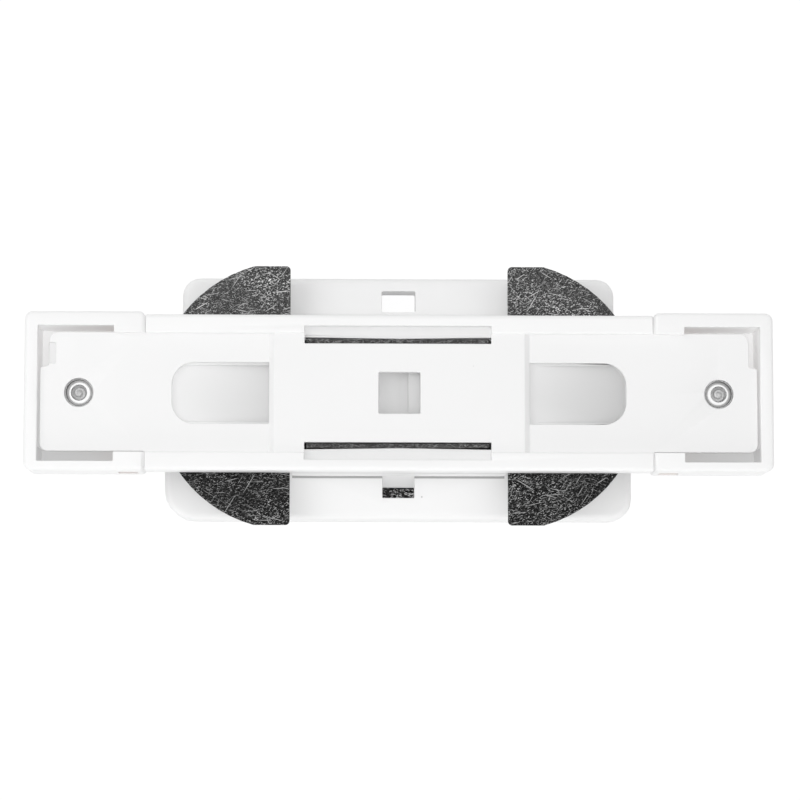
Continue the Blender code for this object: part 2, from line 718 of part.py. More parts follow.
def plug_head(name, side):
    head = extrusion(name, [head_outline(side)], HEAD_LOW, RIM_TOP)
    round_top_edge(head, RIM_TOP, RIM_ROUND)
    block_low = LINK_TOP + SEAT
    x0, x1 = spanned(side, CAVITY_START, CAVITY_END)
    cut(head, box("cavity", (x0, -CAVITY[-1], HEAD_LOW + HEAD_FLOOR), (x1, CAVITY[1], block_low)))
    x0, x1 = spanned(side, HEAD_START + HEAD_BLOCK_LENGTH, CAVITY_END)
    cut(head, box("mouth", (x0, -CAVITY[-1], block_low - OVERRUN), (x1, CAVITY[1], RIM_TOP + OVERRUN)))
    x0, x1 = spanned(side, HEAD_START - OVERRUN, CAVITY_END - OVERRUN)
    cut(head, box("throat", (x0, -CHANNEL, FLOOR_LOW - SEAT), (x1, CHANNEL, RIM_TOP + OVERRUN)))
    screw_x = side * SCREW_X
    inside = HEAD_LOW + HEAD_FLOOR / 2
    add(head, pillar("boss", screw_x, SHANK_ROOM + SCREW_BOSS_WALL, inside, HEAD_BOSS_TOP))
    add(head, pillar("seat_boss", screw_x, HEAD_ROOM + HEAD_FLOOR, inside, cover_screw_seat() + BOSS_WEB))
    cut(head, pillar("seat", screw_x, HEAD_ROOM, HEAD_LOW - OVERRUN, cover_screw_seat()))
    cut(head, pillar("screw_hole", screw_x, SHANK_ROOM, inside, HEAD_BOSS_TOP + OVERRUN))
    for row in (-1, 1):
        near = row * (CAVITY[row] - OVERRUN)
        far = row * (HEAD_BACK + OVERRUN)
        half = CONTACT_WINDOW[0] / 2
        low = (side * LEAF_X - half, min(near, far), window_low())
        high = (side * LEAF_X + half, max(near, far), window_low() + CONTACT_WINDOW[1])
        cut(head, box("contact_window", low, high))
    x0, x1 = spanned(side, earth_leaf_path()[3][0] - 2 * SLIDE, earth_leaf_path()[-1][0] + 2 * SLIDE)
    y0 = EARTH_Y - EARTH_WIDTH / 2 - SLIDE
    y1 = EARTH_Y + EARTH_WIDTH / 2 + SLIDE
    cut(head, box("earth_window", (x0, y0, HEAD_LOW - OVERRUN), (x1, y1, HEAD_LOW + HEAD_FLOOR + OVERRUN)))
    return finish(head, WHITE)


def window_low():
    """The sill of the side windows that the contact leaves look out of."""
    return HEAD_LOW + HEAD_FLOOR + SEAT


def cover_screw_seat():
    """The height of the face that a cover screw's head bears on."""
    return HEAD_LOW + SCREW_HEAD_HEIGHT + BOSS_WEB / 2


# Insulating cover

def cover_outline():
    """The long cover seen from above, with a step in both of its back corners."""
    in_x = COVER_END - CORNER_NOTCH[0]
    in_y = COVER_EDGE - CORNER_NOTCH[1]
    corner = COVER_CORNER
    half = [
        (0, -COVER_EDGE, 0),
        (COVER_END, -COVER_EDGE, corner),
        (COVER_END, in_y, corner / 4),
        (in_x, in_y + CORNER_NOTCH[0] / 4, corner / 8),
        (in_x, COVER_EDGE, corner),
        (0, COVER_EDGE, 0),
    ]
    right = rounded(half)
    return right[1:-1] + mirrored(right, 0)[1:-1]


def insulating_cover():
    cover = extrusion("insulating_cover", [cover_outline()], COVER_LOW, COVER_TOP)
    half = CENTRE_LENGTH / 2
    add(cover, box("centre", (-half, -COVER_EDGE, COVER_LOW + SEAT), (half, COVER_EDGE, CENTRE_TOP)))
    for row in (-1, 1):
        near = row * (FOLD_SPREAD / 2 - PLATE_THICKNESS - SLIDE)
        far = row * (COVER_EDGE + OVERRUN)
        low = (-FOLD_LENGTH / 2 - SLIDE, min(near, far), COVER_LOW - OVERRUN)
        high = (FOLD_LENGTH / 2 + SLIDE, max(near, far), CENTRE_TOP + OVERRUN)
        cut(cover, box("side_cutout", low, high))
    window = CENTRE_WINDOW / 2
    opening = rectangle((-window, -window), (window, window), WINDOW_CORNER)
    cut(cover, extrusion("window", [opening], COVER_LOW - OVERRUN, CENTRE_TOP + OVERRUN))
    for side in (-1, 1):
        pocket = extrusion("pocket", [pocket_outline(side, 0)], COVER_LOW - OVERRUN, CENTRE_TOP + OVERRUN)
        cut(cover, pocket)
        screw_x = side * SCREW_X
        half_way = COVER_LOW + COVER_THICKNESS / 2
        add(cover, pillar("boss", screw_x, SHANK_ROOM + SCREW_BOSS_WALL, BOSS_LOW, half_way))
        cut(cover, pillar("well", screw_x, WELL_DIAMETER / 2, WELL_FLOOR, COVER_TOP + OVERRUN, steps=40))
        cut(cover, pillar("pilot", screw_x, SHANK_ROOM, BOSS_LOW - OVERRUN, COVER_TOP))
    end = COVER_END - CORNER_NOTCH[0]
    ledge_y = COVER_EDGE - CORNER_NOTCH[1] + CORNER_NOTCH[0] / 2
    ledge_low = (-end - OVERRUN, ledge_y, COVER_TOP - COVER_THICKNESS / 2)
    ledge_high = (-end + CORNER_LEDGE, COVER_EDGE - COVER_CORNER, COVER_TOP + OVERRUN)
    cut(cover, box("corner_ledge", ledge_low, ledge_high))
    return finish(cover, WHITE)


# Screws

def screw_profile(length):
    """A pan-head self-tapping screw standing on its head, point up: (radius, height), top first."""
    shank = SCREW_DIAMETER / 2
    head = SCREW_HEAD_DIAMETER / 2
    return [
        (0, length),
        (shank / 5, length - SCREW_POINT / 8),
        (shank, length - SCREW_POINT),
        (shank, SCREW_HEAD_HEIGHT),
        (head, SCREW_HEAD_HEIGHT),
        (head, SCREW_HEAD_HEIGHT / 2),
        (head * 0.82, SCREW_HEAD_HEIGHT / 8),
        (head * 0.55, 0),
        (0, 0),
    ]


def screw(name, x, seat, tip):
    """A screw driven upwards, with its head SEAT below the face that it bears on."""
    bottom = seat - SEAT - SCREW_HEAD_HEIGHT
    piece = turned(name, screw_profile(tip - bottom), (x, 0, bottom))
    depth = bottom + SCREW_HEAD_HEIGHT / 2
    for along in (0, 1):
        half = [SCREW_HEAD_DIAMETER / 4, RECESS_WIDTH / 2]
        half_x, half_y = half[along], half[1 - along]
        low = (x - half_x, -half_y, bottom - OVERRUN)
        cut(piece, box("recess", low, (x + half_x, half_y, depth)))
    return finish(piece, ZINC)


def washer(name, x):
    """A flat washer round a cover screw's tip, lying in the well of the cover."""
    low = WELL_FLOOR + SEAT
    outer = circle(x, 0, WELL_DIAMETER / 2 - SEAT, 40)
    hole = circle(x, 0, SHANK_ROOM, 24)
    return finish(extrusion(name, [outer, hole], low, low + WASHER_THICKNESS), ZINC)


# Copper links, contact leaves and rivets

def link(name, y, width, low, thickness, end, rivet_x):
    """A flat copper strip from one head to the other, with a rivet hole near each end."""
    outline = rectangle((-end, y - width / 2), (end, y + width / 2), width / 6)
    holes = [circle(side * rivet_x, y, RIVET_DIAMETER / 2 + RIVET_FIT, 16) for side in (-1, 1)]
    return finish(extrusion(name, [outline, *holes], low, low + thickness), COPPER)


def rivet_hole(leaf, x, y, middle):
    radius = RIVET_DIAMETER / 2 + RIVET_FIT
    cut(leaf, pillar("rivet_hole", x, radius, middle - LEAF_THICKNESS, middle + LEAF_THICKNESS, y, 16))


def side_leaf(name, side, row):
    """A leaf that is riveted under a link, turns down by the head's wall and bulges out of its window."""
    top = LINK_LOW - SEAT - LEAF_THICKNESS / 2
    inner = LINK_SPREAD / 2 - LINK_WIDTH / 2
    wall = CAVITY[row] - SLIDE - LEAF_THICKNESS / 2
    nose = HEAD_FRONT - LEAF_NOSE - LEAF_THICKNESS / 2
    middle = window_low() + CONTACT_WINDOW[1] / 2
    drop = CONTACT_WINDOW[1] / 3
    bend = LEAF_THICKNESS * 2
    path = [
        (inner, top),
        (wall - bend, top),
        (wall - bend / 4, top - bend / 4),
        (wall, top - bend),
        (wall, middle + drop),
        (nose - bend / 2, middle + drop / 4),
        (nose, middle),
        (nose - bend / 2, middle - drop / 4),
        (wall, middle - drop),
    ]
    outline = strip(path, LEAF_THICKNESS)
    if row < 0:
        outline = mirrored(outline, 0)
    x0 = side * LEAF_X - LEAF_WIDTH / 2
    leaf = extrusion(name, [outline], x0, x0 + LEAF_WIDTH, "X")
    rivet_hole(leaf, side * LEAF_X, row * LINK_SPREAD / 2, top)
    return finish(leaf, COPPER)


def earth_leaf_path():
    """The earth leaf's middle line (x, z) in the right head, down to its nose in the floor's window."""
    top = EARTH_LOW - SEAT - LEAF_THICKNESS / 2
    start = EARTH_RIVET_X - RIVET_HEAD_DIAMETER / 2
    floor = HEAD_LOW + HEAD_FLOOR
    nose = HEAD_LOW + LEAF_NOSE + LEAF_THICKNESS / 2
    bend = LEAF_THICKNESS * 2
    return [
        (start, top),
        (EARTH_END, top),
        (EARTH_END + bend, top - bend / 2),
        (EARTH_END + 2 * bend, floor + bend),
        (EARTH_END + 3 * bend, nose + bend / 4),
        (EARTH_END + 4 * bend, nose),
        (EARTH_END + 5 * bend, nose + bend / 4),
        (EARTH_END + 6 * bend, floor + bend),
    ]


def earth_leaf(name, side):
    """A leaf riveted under the earth strap, whose nose looks out of the head's floor."""
    outline = strip(earth_leaf_path(), LEAF_THICKNESS)
    if side < 0:
        outline = mirrored(outline, 0)
    low = EARTH_Y - EARTH_WIDTH / 2
    leaf = extrusion(name, [outline], low, low + EARTH_WIDTH, "Y")
    rivet_hole(leaf, side * EARTH_RIVET_X, EARTH_Y, earth_leaf_path()[0][1])
    return finish(leaf, COPPER)


def rivet(name, x, y, low, high):
    """A round-headed rivet that holds two strips between the heights low and high."""
    shank = RIVET_DIAMETER / 2
    head = RIVET_HEAD_DIAMETER / 2
    half = (high - low) / 2 + SEAT / 2
    flat = head * 0.6
    upper = [(0, half + RIVET_HEAD_HEIGHT), (flat, half + RIVET_HEAD_HEIGHT), (head, half), (shank, half)]
    lower = [(radius, -height) for radius, height in reversed(upper)]
    return finish(turned(name, upper + lower, (x, y, (low + high) / 2), 16), COPPER)


def build():
    base_housing()
    face_cover()
    front_catch()
    fixing_plate()
    bar_housing()
    insulating_cover()
    live_y = LINK_SPREAD / 2
    link("live_busbar", live_y, LINK_WIDTH, LINK_LOW, LINK_THICKNESS, LINK_END, LEAF_X)
    link("neutral_busbar", -live_y, LINK_WIDTH, LINK_LOW, LINK_THICKNESS, LINK_END, LEAF_X)
    link("earth_strap", EARTH_Y, EARTH_WIDTH, EARTH_LOW, LEAF_THICKNESS, EARTH_END, EARTH_RIVET_X)
    leaf_low = LINK_LOW - SEAT - LEAF_THICKNESS
    earth_leaf_low = EARTH_LOW - SEAT - LEAF_THICKNESS
    for word, side in (("left", -1), ("right", 1)):
        plug_head(f"{word}_plug_head", side)
        screw(f"{word}_cover_screw", side * SCREW_X, cover_screw_seat(), COVER_TOP - SEAT)
        screw(f"{word}_plate_screw", side * PLATE_SCREW_X, plate_screw_seat(), plate_screw_reach())
        washer(f"{word}_cover_washer", side * SCREW_X)
        for pole, row in (("live", 1), ("neutral", -1)):
            side_leaf(f"{word}_{pole}_contact", side, row)
            rivet(f"{word}_{pole}_rivet", side * LEAF_X, row * live_y, leaf_low, LINK_TOP)
        earth_leaf(f"{word}_earth_contact", side)
        rivet(f"{word}_earth_rivet", side * EARTH_RIVET_X, EARTH_Y, earth_leaf_low, EARTH_TOP)


build()
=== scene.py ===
import math

import bmesh
import bpy
from mathutils import Matrix, Vector


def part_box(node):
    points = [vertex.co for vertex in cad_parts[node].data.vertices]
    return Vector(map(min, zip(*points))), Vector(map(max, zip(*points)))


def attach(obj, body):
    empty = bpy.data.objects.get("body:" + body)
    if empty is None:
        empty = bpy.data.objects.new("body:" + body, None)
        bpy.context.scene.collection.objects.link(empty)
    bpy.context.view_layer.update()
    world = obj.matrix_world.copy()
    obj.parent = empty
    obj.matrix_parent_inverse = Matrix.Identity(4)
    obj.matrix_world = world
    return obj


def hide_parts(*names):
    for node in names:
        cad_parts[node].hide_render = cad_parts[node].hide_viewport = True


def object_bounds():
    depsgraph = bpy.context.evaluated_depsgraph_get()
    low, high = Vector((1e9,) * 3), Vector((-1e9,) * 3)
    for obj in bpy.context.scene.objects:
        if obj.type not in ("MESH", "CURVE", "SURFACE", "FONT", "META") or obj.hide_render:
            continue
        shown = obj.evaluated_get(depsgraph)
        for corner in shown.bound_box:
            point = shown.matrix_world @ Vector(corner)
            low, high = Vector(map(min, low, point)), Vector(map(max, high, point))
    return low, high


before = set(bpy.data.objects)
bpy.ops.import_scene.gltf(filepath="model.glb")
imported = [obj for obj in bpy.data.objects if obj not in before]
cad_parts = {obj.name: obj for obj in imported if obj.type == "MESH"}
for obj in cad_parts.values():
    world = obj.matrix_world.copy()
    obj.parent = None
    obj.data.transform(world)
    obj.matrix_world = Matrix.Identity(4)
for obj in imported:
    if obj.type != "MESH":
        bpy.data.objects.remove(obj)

CAD_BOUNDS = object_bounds()
MM = 0.001

# Places read from the frame
_, HEAD_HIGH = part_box("right_plug_head")
_, COVER_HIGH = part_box("insulating_cover")
RIM_TOP = HEAD_HIGH[2]

# Edges
PLASTIC_EDGE = 0.16 * MM
STEEL_EDGE = 0.08 * MM
EDGE_STEPS = 2
SHARP_TURN = math.radians(32)

# Distances for finding and joining vertices of the CAD nodes
WELD = 0.002 * MM
CLOSE = 0.1 * MM

# Bar, plug heads, and the joint between them
RIM_THICKNESS = 4.0 * MM
BAR_WIDTH = 33.4 * MM
BAR_END = 54.1 * MM
HEAD_JOINT = 0.35 * MM
JOINT_HAIRLINE = 0.03 * MM
LEAF_X = 58.1 * MM
SCREW_X = 68.3 * MM
EARTH_Y = 5.7 * MM
CLIP_X = 23.5 * MM

# Cover in the channel
COVER_TOP = 20.8 * MM
COVER_UNDERSIDE = 19.6 * MM
COVER_BITE = 0.25 * MM
COVER_HAIRLINE = 0.18 * MM
COVER_STRETCH_FROM = 10.75 * MM
COVER_STEP_SLOPE = 1.1 * MM

# Pockets in the cover, and their floors on the bar
POCKET_LOW_X = 27.8 * MM
POCKET_HIGH_X = 48.0 * MM
POCKET_END = 48.5 * MM
POCKET_SIDE = 6.6 * MM
POCKET_ROUND = 4.8 * MM
POCKET_FLOOR = 17.75 * MM
POCKET_END_GAP = 0.35 * MM
POCKET_SIDE_GAP = 0.65 * MM
POCKET_GROW = 0.45 * MM
POCKET_BRIM = 0.25 * MM
BRIM_BITE = 0.02 * MM

# Centre window, and the shelf in it
WINDOW_SIDE = 4.7 * MM
SHELF_FROM = 3.5 * MM
SHELF_END = 4.75 * MM

# Slots beside the cover: its cut-outs, the ledges, the rims and the plate's folded sides
CUT_OUT_END = 20.3 * MM
CUT_OUT_EDGE = 9.9 * MM
SLOT_EDGE = 10.55 * MM
SLOT_RIGHT_END = 19.6 * MM
LEDGE_CAD_END = 18.2 * MM
LEDGE_CAD_EDGE = 11.7 * MM
LEDGE_END = 20.5 * MM
LEDGE_EDGE = 12.0 * MM
LEDGE_TOP = 20.5 * MM
RIM_RECESS = 14.35 * MM
FOLD_TOP = 20.6 * MM
FOLD_LEAN = 0.45 * MM
FOLD_CAD_END = 19.9 * MM
FOLD_RIGHT_END = 19.25 * MM

# Boxes that hold painted shade, as a low and a high corner
WINDOW_LOW = (-WINDOW_SIDE, -WINDOW_SIDE, 16.0 * MM)
WINDOW_HIGH = (WINDOW_SIDE, WINDOW_SIDE, 19.5 * MM)
POCKET_LOW = (-POCKET_END, -POCKET_SIDE - POCKET_BRIM, 17.8 * MM)
POCKET_HIGH = (-POCKET_LOW_X, POCKET_SIDE + POCKET_BRIM, 20.0 * MM)
LEDGE_LOW_Z = 20.3 * MM
LEDGE_HIGH_Z = 20.7 * MM
CAVITY_LOW = (56.0 * MM, -14.75 * MM, 10.5 * MM)
CAVITY_HIGH = (77.1 * MM, 14.35 * MM, 20.0 * MM)
FRONT_GAP_Y = -11.5 * MM
SKIRT_FOOT_LOW = (-23.0 * MM, -17.35 * MM, 8.6 * MM)
SKIRT_FOOT_HIGH = (23.0 * MM, -16.5 * MM, 9.0 * MM)
CORNER_STEP_LOW = (-75.2 * MM, 4.5 * MM, 19.9 * MM)
CORNER_STEP_HIGH = (-73.0 * MM, 12.9 * MM, 20.5 * MM)

# Painted shade in those boxes, as a share of the plastic's white at their low X and at their high X
# Painted shade deep in the centre window, on the pockets' floors, on the lower ledges, in the heads'
# front gaps and on the cover's corner step, and a painted shadow under the skirt's foot
LEFT_WINDOW_PAINTED_SHADE = (0.98, 0.79)
RIGHT_WINDOW_PAINTED_SHADE = (0.78, 0.76)
LEFT_POCKET_PAINTED_SHADE = (1.0, 0.78)
RIGHT_POCKET_PAINTED_SHADE = (0.90, 0.66)
LEDGE_PAINTED_SHADE = (0.94, 0.94)
FRONT_GAP_PAINTED_SHADE = (0.71, 0.71)
SKIRT_FOOT_PAINTED_SHADOW = (0.5, 0.5)
CORNER_STEP_PAINTED_SHADE = (0.90, 0.94)
# Painted glow in the plug heads' cavities
CAVITY_GLOW = 0.14

# Cover screws
THREAD_PITCH = 0.9 * MM
THREAD_FLANK = 0.32
THREAD_ROOT = 0.8 * MM
THREAD_CREST = 1.68 * MM
THREAD_TURNS = 5
THREAD_STEPS = 36
THREAD_POINT = 1.9 * MM
THREAD_TIP_SHARE = 0.12
THREAD_DROP = 0.05 * MM
WASHER_CENTRE = (SCREW_X - 0.15 * MM, -0.1 * MM)
# Rings of the washer: bright round its middle, and painted shade at its edge, under the hole's wall
WASHER_BRIGHT_RING = (2.1 * MM, 2.35 * MM)
WASHER_EDGE_SHADE_RING = (2.55 * MM, 2.8 * MM)

# Camera, read from the photograph
CAMERA_DISTANCE = 650 * MM
CAMERA_TILT = math.radians(5.5)
CAMERA_SIDE = math.radians(-1.0)
CAMERA_ROLL = math.radians(0.17)
CAMERA_SENSOR = 36.0
PIXELS_PER_MM = 4.7
FRAME_PIXELS = 800
AIM_SHIFT = (0.1 * MM, -1.6 * MM)

# Light
ZENITH = 0.60
HORIZON = 0.75
RING_POWER = 1.2
RING_SIZE = 0.03
SIDE_LAMP_POWER = 0.55
SIDE_LAMP_PLACE = (-0.38, 0.12, 0.48)
FRONT_LAMP_POWER = 1.2
FRONT_LAMP_PLACE = (0, -0.7, 0.12)
LAMP_SIZE = 0.4
RING_BEHIND_LENS = 10 * MM
FLOOR_SIZE = 3.0
FLOOR_DROP = 0.05 * MM
FLOOR_COLOR = (0.8, 0.8, 0.8, 1)
FLOOR_WHITE_SHARE = 0.9
FLOOR_GLOW = 1.06

# Marks on the steel, with painted shade in the slots and at the front, and a painted sheen at the back
SCRATCH_TURNS = (3, 15, 31, 58, 149, 168)
SCRATCH_SOFTNESS = 0.045
# Painted shade on the scratches inside the slots
SLOT_SHADE = 0.35
SLOT_STEEL_TO = 13.0 * MM
FRONT_STEEL_TO = -15.0 * MM
BACK_STEEL_FROM = -13.0 * MM

# Colours
PLASTIC_WHITE = (0.895, 0.895, 0.895, 1)
COVER_WHITE = (0.87, 0.87, 0.87, 1)
BASE_WHITE = (0.875, 0.875, 0.875, 1)
# Tones of the steel: painted shade on the front wings, and a painted sheen on the back ones
STEEL_FRONT_PAINTED_SHADE = {"dark": 0.0015, "grey": 0.035, "light": 0.55}
STEEL_BACK_PAINTED_SHEEN = {"dark": 0.032, "grey": 0.10, "light": 0.85}
ZINC_GREY = (0.74, 0.74, 0.74, 1)
COPPER_TONE = (0.74, 0.38, 0.21, 1)
SCRATCH_BRIGHT = (0.8, 0.8, 0.8, 1)


# Node helpers

def add_node(tree, kind, **values):
    """A node with its settings and, by name or number, the values of its inputs."""
    node = tree.nodes.new(kind)
    for name, value in values.pop("inputs", {}).items():
        node.inputs[name].default_value = value
    for name, value in values.items():
        setattr(node, name, value)
    return node


def new_group(name, inputs, outputs):
    """A shader node group; each socket is given as (name, kind, value)."""
    tree = bpy.data.node_groups.new(name, "ShaderNodeTree")
    for socket_name, kind, value in inputs:
        socket = tree.interface.new_socket(socket_name, in_out="INPUT", socket_type=kind)
        socket.default_value = value
    for socket_name, kind in outputs:
        tree.interface.new_socket(socket_name, in_out="OUTPUT", socket_type=kind)
    return tree, tree.nodes.new("NodeGroupInput"), tree.nodes.new("NodeGroupOutput")


def ramp(tree, low, high, start=0.0, end=1.0):
    """A node that maps low..high to start..end and keeps to those limits."""
    return add_node(
        tree, "ShaderNodeMapRange", clamp=True,
        inputs={"From Min": low, "From Max": high, "To Min": start, "To Max": end},
    )


def combine(tree, operation, first, second):
    """A Math node fed by two sockets or numbers."""
    node = add_node(tree, "ShaderNodeMath", operation=operation)
    for index, value in enumerate((first, second)):
        if isinstance(value, (int, float)):
            node.inputs[index].default_value = value
        else:
            tree.links.new(value, node.inputs[index])
    return node.outputs[0]


def blended(tree, factor, first, second):
    """A colour between two others."""
    node = add_node(tree, "ShaderNodeMix", data_type="RGBA")
    for index, value in ((0, factor), (6, first), (7, second)):
        socket = node.inputs[index]
        if isinstance(value, (int, float, tuple)):
            socket.default_value = value
        else:
            tree.links.new(value, socket)
    return node.outputs[2]


def shaded(tree, color, shade):
    """A colour multiplied by a socket."""
    node = add_node(tree, "ShaderNodeVectorMath", operation="SCALE")
    tree.links.new(color, node.inputs[0])
    tree.links.new(shade, node.inputs["Scale"])
    return node.outputs[0]


def object_place(tree):
    return add_node(tree, "ShaderNodeTexCoord").outputs["Object"]


# Effects that several materials share

def moulded_grain():
    """Fine moulding texture, slow tone changes, and a few tiny dust specks."""
    tree, given, gives = new_group(
        "moulded_grain",
        [("Color", "NodeSocketColor", PLASTIC_WHITE), ("Roughness", "NodeSocketFloat", 0.4),
         ("Grain Size", "NodeSocketFloat", 3.2), ("Specks", "NodeSocketFloat", 1.0)],
        [("Color", "NodeSocketColor"), ("Roughness", "NodeSocketFloat"),
         ("Height", "NodeSocketFloat")],
    )
    place = object_place(tree)
    grain_scale = combine(tree, "DIVIDE", 9000.0, given.outputs["Grain Size"])
    grain = add_node(tree, "ShaderNodeTexNoise", inputs={"Detail": 3.0, "Roughness": 0.6})
    tree.links.new(place, grain.inputs["Vector"])
    tree.links.new(grain_scale, grain.inputs["Scale"])
    tone = add_node(
        tree, "ShaderNodeTexNoise", inputs={"Scale": 38.0, "Detail": 4.0, "Roughness": 0.55},
    )
    tree.links.new(place, tone.inputs["Vector"])
    tone_range = ramp(tree, 0.3, 0.7, 0.984, 1.0)
    tree.links.new(tone.outputs["Fac"], tone_range.inputs["Value"])
    specks = add_node(tree, "ShaderNodeTexVoronoi", feature="F1", inputs={"Scale": 190.0})
    tree.links.new(place, specks.inputs["Vector"])
    near = ramp(tree, 0.030, 0.055, 1.0, 0.0)
    tree.links.new(specks.outputs["Distance"], near.inputs["Value"])
    chosen = add_node(tree, "ShaderNodeSeparateColor")
    tree.links.new(specks.outputs["Color"], chosen.inputs["Color"])
    rare = combine(tree, "GREATER_THAN", chosen.outputs["Red"], 0.965)
    speck = combine(tree, "MULTIPLY", near.outputs[0], rare)
    speck = combine(tree, "MULTIPLY", speck, given.outputs["Specks"])
    speck = combine(tree, "MULTIPLY", speck, 0.42)
    shade = combine(tree, "SUBTRACT", tone_range.outputs[0], speck)
    tree.links.new(shaded(tree, given.outputs["Color"], shade), gives.inputs["Color"])
    grain_rough = ramp(tree, 0.3, 0.7, -0.05, 0.05)
    tree.links.new(grain.outputs["Fac"], grain_rough.inputs["Value"])
    rough = combine(tree, "ADD", given.outputs["Roughness"], grain_rough.outputs[0])
    tree.links.new(rough, gives.inputs["Roughness"])
    tree.links.new(grain.outputs["Fac"], gives.inputs["Height"])
    return tree


def hairline_scratches():
    """Fine straight scratches, most of them lengthwise, as a mask from 0 to 1."""
    tree, given, gives = new_group(
        "hairline_scratches",
        [("Amount", "NodeSocketFloat", 1.0), ("Length", "NodeSocketFloat", 60.0),
         ("Fineness", "NodeSocketFloat", 2600.0), ("Threshold", "NodeSocketFloat", 0.72)],
        [("Mask", "NodeSocketFloat")],
    )
    place = object_place(tree)
    full = combine(tree, "ADD", given.outputs["Threshold"], SCRATCH_SOFTNESS)
    total = None
    for index, turn in enumerate(SCRATCH_TURNS):
        turned = add_node(tree, "ShaderNodeMapping", vector_type="TEXTURE")
        turned.inputs["Rotation"].default_value = (0, 0, math.radians(turn))
        turned.inputs["Location"].default_value = (0.011 * index, 0.007 * index, 0)
        tree.links.new(place, turned.inputs["Vector"])
        stretch = add_node(tree, "ShaderNodeCombineXYZ")
        tree.links.new(given.outputs["Length"], stretch.inputs["X"])
        for axis in "YZ":
            tree.links.new(given.outputs["Fineness"], stretch.inputs[axis])
        along = add_node(tree, "ShaderNodeVectorMath", operation="MULTIPLY")
        tree.links.new(turned.outputs["Vector"], along.inputs[0])
        tree.links.new(stretch.outputs[0], along.inputs[1])
        lines = add_node(
            tree, "ShaderNodeTexNoise", inputs={"Scale": 1.0, "Detail": 1.0, "Roughness": 0.4},
        )
        tree.links.new(along.outputs[0], lines.inputs["Vector"])
        thin = ramp(tree, 0.0, 1.0)
        tree.links.new(lines.outputs["Fac"], thin.inputs["Value"])
        tree.links.new(given.outputs["Threshold"], thin.inputs["From Min"])
        tree.links.new(full, thin.inputs["From Max"])
        line = thin.outputs[0]
        total = line if total is None else combine(tree, "MAXIMUM", total, line)
    mask = combine(tree, "MULTIPLY", total, given.outputs["Amount"])
    tree.links.new(mask, gives.inputs["Mask"])
    return tree


def metal_speckle():
    """The salt-and-pepper grain of uncoated sheet steel, as a mask from 0 to 1."""
    tree, given, gives = new_group(
        "metal_speckle",
        [("Fineness", "NodeSocketFloat", 3600.0), ("Contrast", "NodeSocketFloat", 0.16)],
        [("Mask", "NodeSocketFloat")],
    )
    place = object_place(tree)
    fine = add_node(tree, "ShaderNodeTexNoise", inputs={"Detail": 2.0, "Roughness": 0.7})
    tree.links.new(place, fine.inputs["Vector"])
    tree.links.new(given.outputs["Fineness"], fine.inputs["Scale"])
    low = combine(tree, "SUBTRACT", 0.5, given.outputs["Contrast"])
    high = combine(tree, "ADD", 0.5, given.outputs["Contrast"])
    spread = ramp(tree, 0.0, 1.0)
    tree.links.new(fine.outputs["Fac"], spread.inputs["Value"])
    tree.links.new(low, spread.inputs["From Min"])
    tree.links.new(high, spread.inputs["From Max"])
    tree.links.new(spread.outputs[0], gives.inputs["Mask"])
    return tree


def inside_box():
    """1 inside a box of the object's space, and 0 outside it."""
    tree, given, gives = new_group(
        "inside_box",
        [("Low", "NodeSocketVector", (0, 0, 0)), ("High", "NodeSocketVector", (0, 0, 0))],
        [("Mask", "NodeSocketFloat")],
    )
    place = object_place(tree)
    nearest = None
    for first, second in ((place, given.outputs["Low"]), (given.outputs["High"], place)):
        room = add_node(tree, "ShaderNodeVectorMath", operation="SUBTRACT")
        tree.links.new(first, room.inputs[0])
        tree.links.new(second, room.inputs[1])
        parts = add_node(tree, "ShaderNodeSeparateXYZ")
        tree.links.new(room.outputs[0], parts.inputs[0])
        for axis in "XYZ":
            side = parts.outputs[axis]
            nearest = side if nearest is None else combine(tree, "MINIMUM", nearest, side)
    tree.links.new(combine(tree, "GREATER_THAN", nearest, 0.0), gives.inputs["Mask"])
    return tree


GRAIN = moulded_grain()
SCRATCHES = hairline_scratches()
SPECKLE = metal_speckle()
BOX = inside_box()


# Materials

def new_material(name):
    material = bpy.data.materials.new(name)
    material.use_nodes = True
    tree = material.node_tree
    return material, tree, tree.nodes["Principled BSDF"]


def place_group(tree, group, **values):
    node = add_node(tree, "ShaderNodeGroup", node_tree=group)
    for name, value in values.items():
        node.inputs[name.replace("_", " ")].default_value = value
    return node


def bump_from(tree, shader, height, strength, distance):
    bump = add_node(tree, "ShaderNodeBump", inputs={"Strength": strength, "Distance": distance})
    tree.links.new(height, bump.inputs["Height"])
    tree.links.new(bump.outputs["Normal"], shader.inputs["Normal"])


def white_plastic(name, roughness, painted_shades, color=PLASTIC_WHITE):
    """Glossy white moulded plastic, darkened by painted shade in boxes; each box is (low, high, (share
    at low X, share at high X)).
    """
    material, tree, shader = new_material(name)
    surface = place_group(tree, GRAIN, Color=color, Roughness=roughness)
    tone = surface.outputs["Color"]
    along = add_node(tree, "ShaderNodeSeparateXYZ")
    tree.links.new(object_place(tree), along.inputs[0])
    # Painted shade: each box darkens the colour by a share that runs along X
    for low, high, (first, last) in painted_shades:
        inside = place_group(tree, BOX, Low=low, High=high)
        change = ramp(tree, low[0], high[0], first - 1, last - 1)
        tree.links.new(along.outputs["X"], change.inputs["Value"])
        drop = combine(tree, "MULTIPLY", inside.outputs["Mask"], change.outputs[0])
        tone = shaded(tree, tone, combine(tree, "ADD", drop, 1.0))
    tree.links.new(tone, shader.inputs["Base Color"])
    tree.links.new(surface.outputs["Roughness"], shader.inputs["Roughness"])
    bump_from(tree, shader, surface.outputs["Height"], 0.06, 0.02 * MM)
    shader.inputs["Specular IOR Level"].default_value = 0.28
    return material


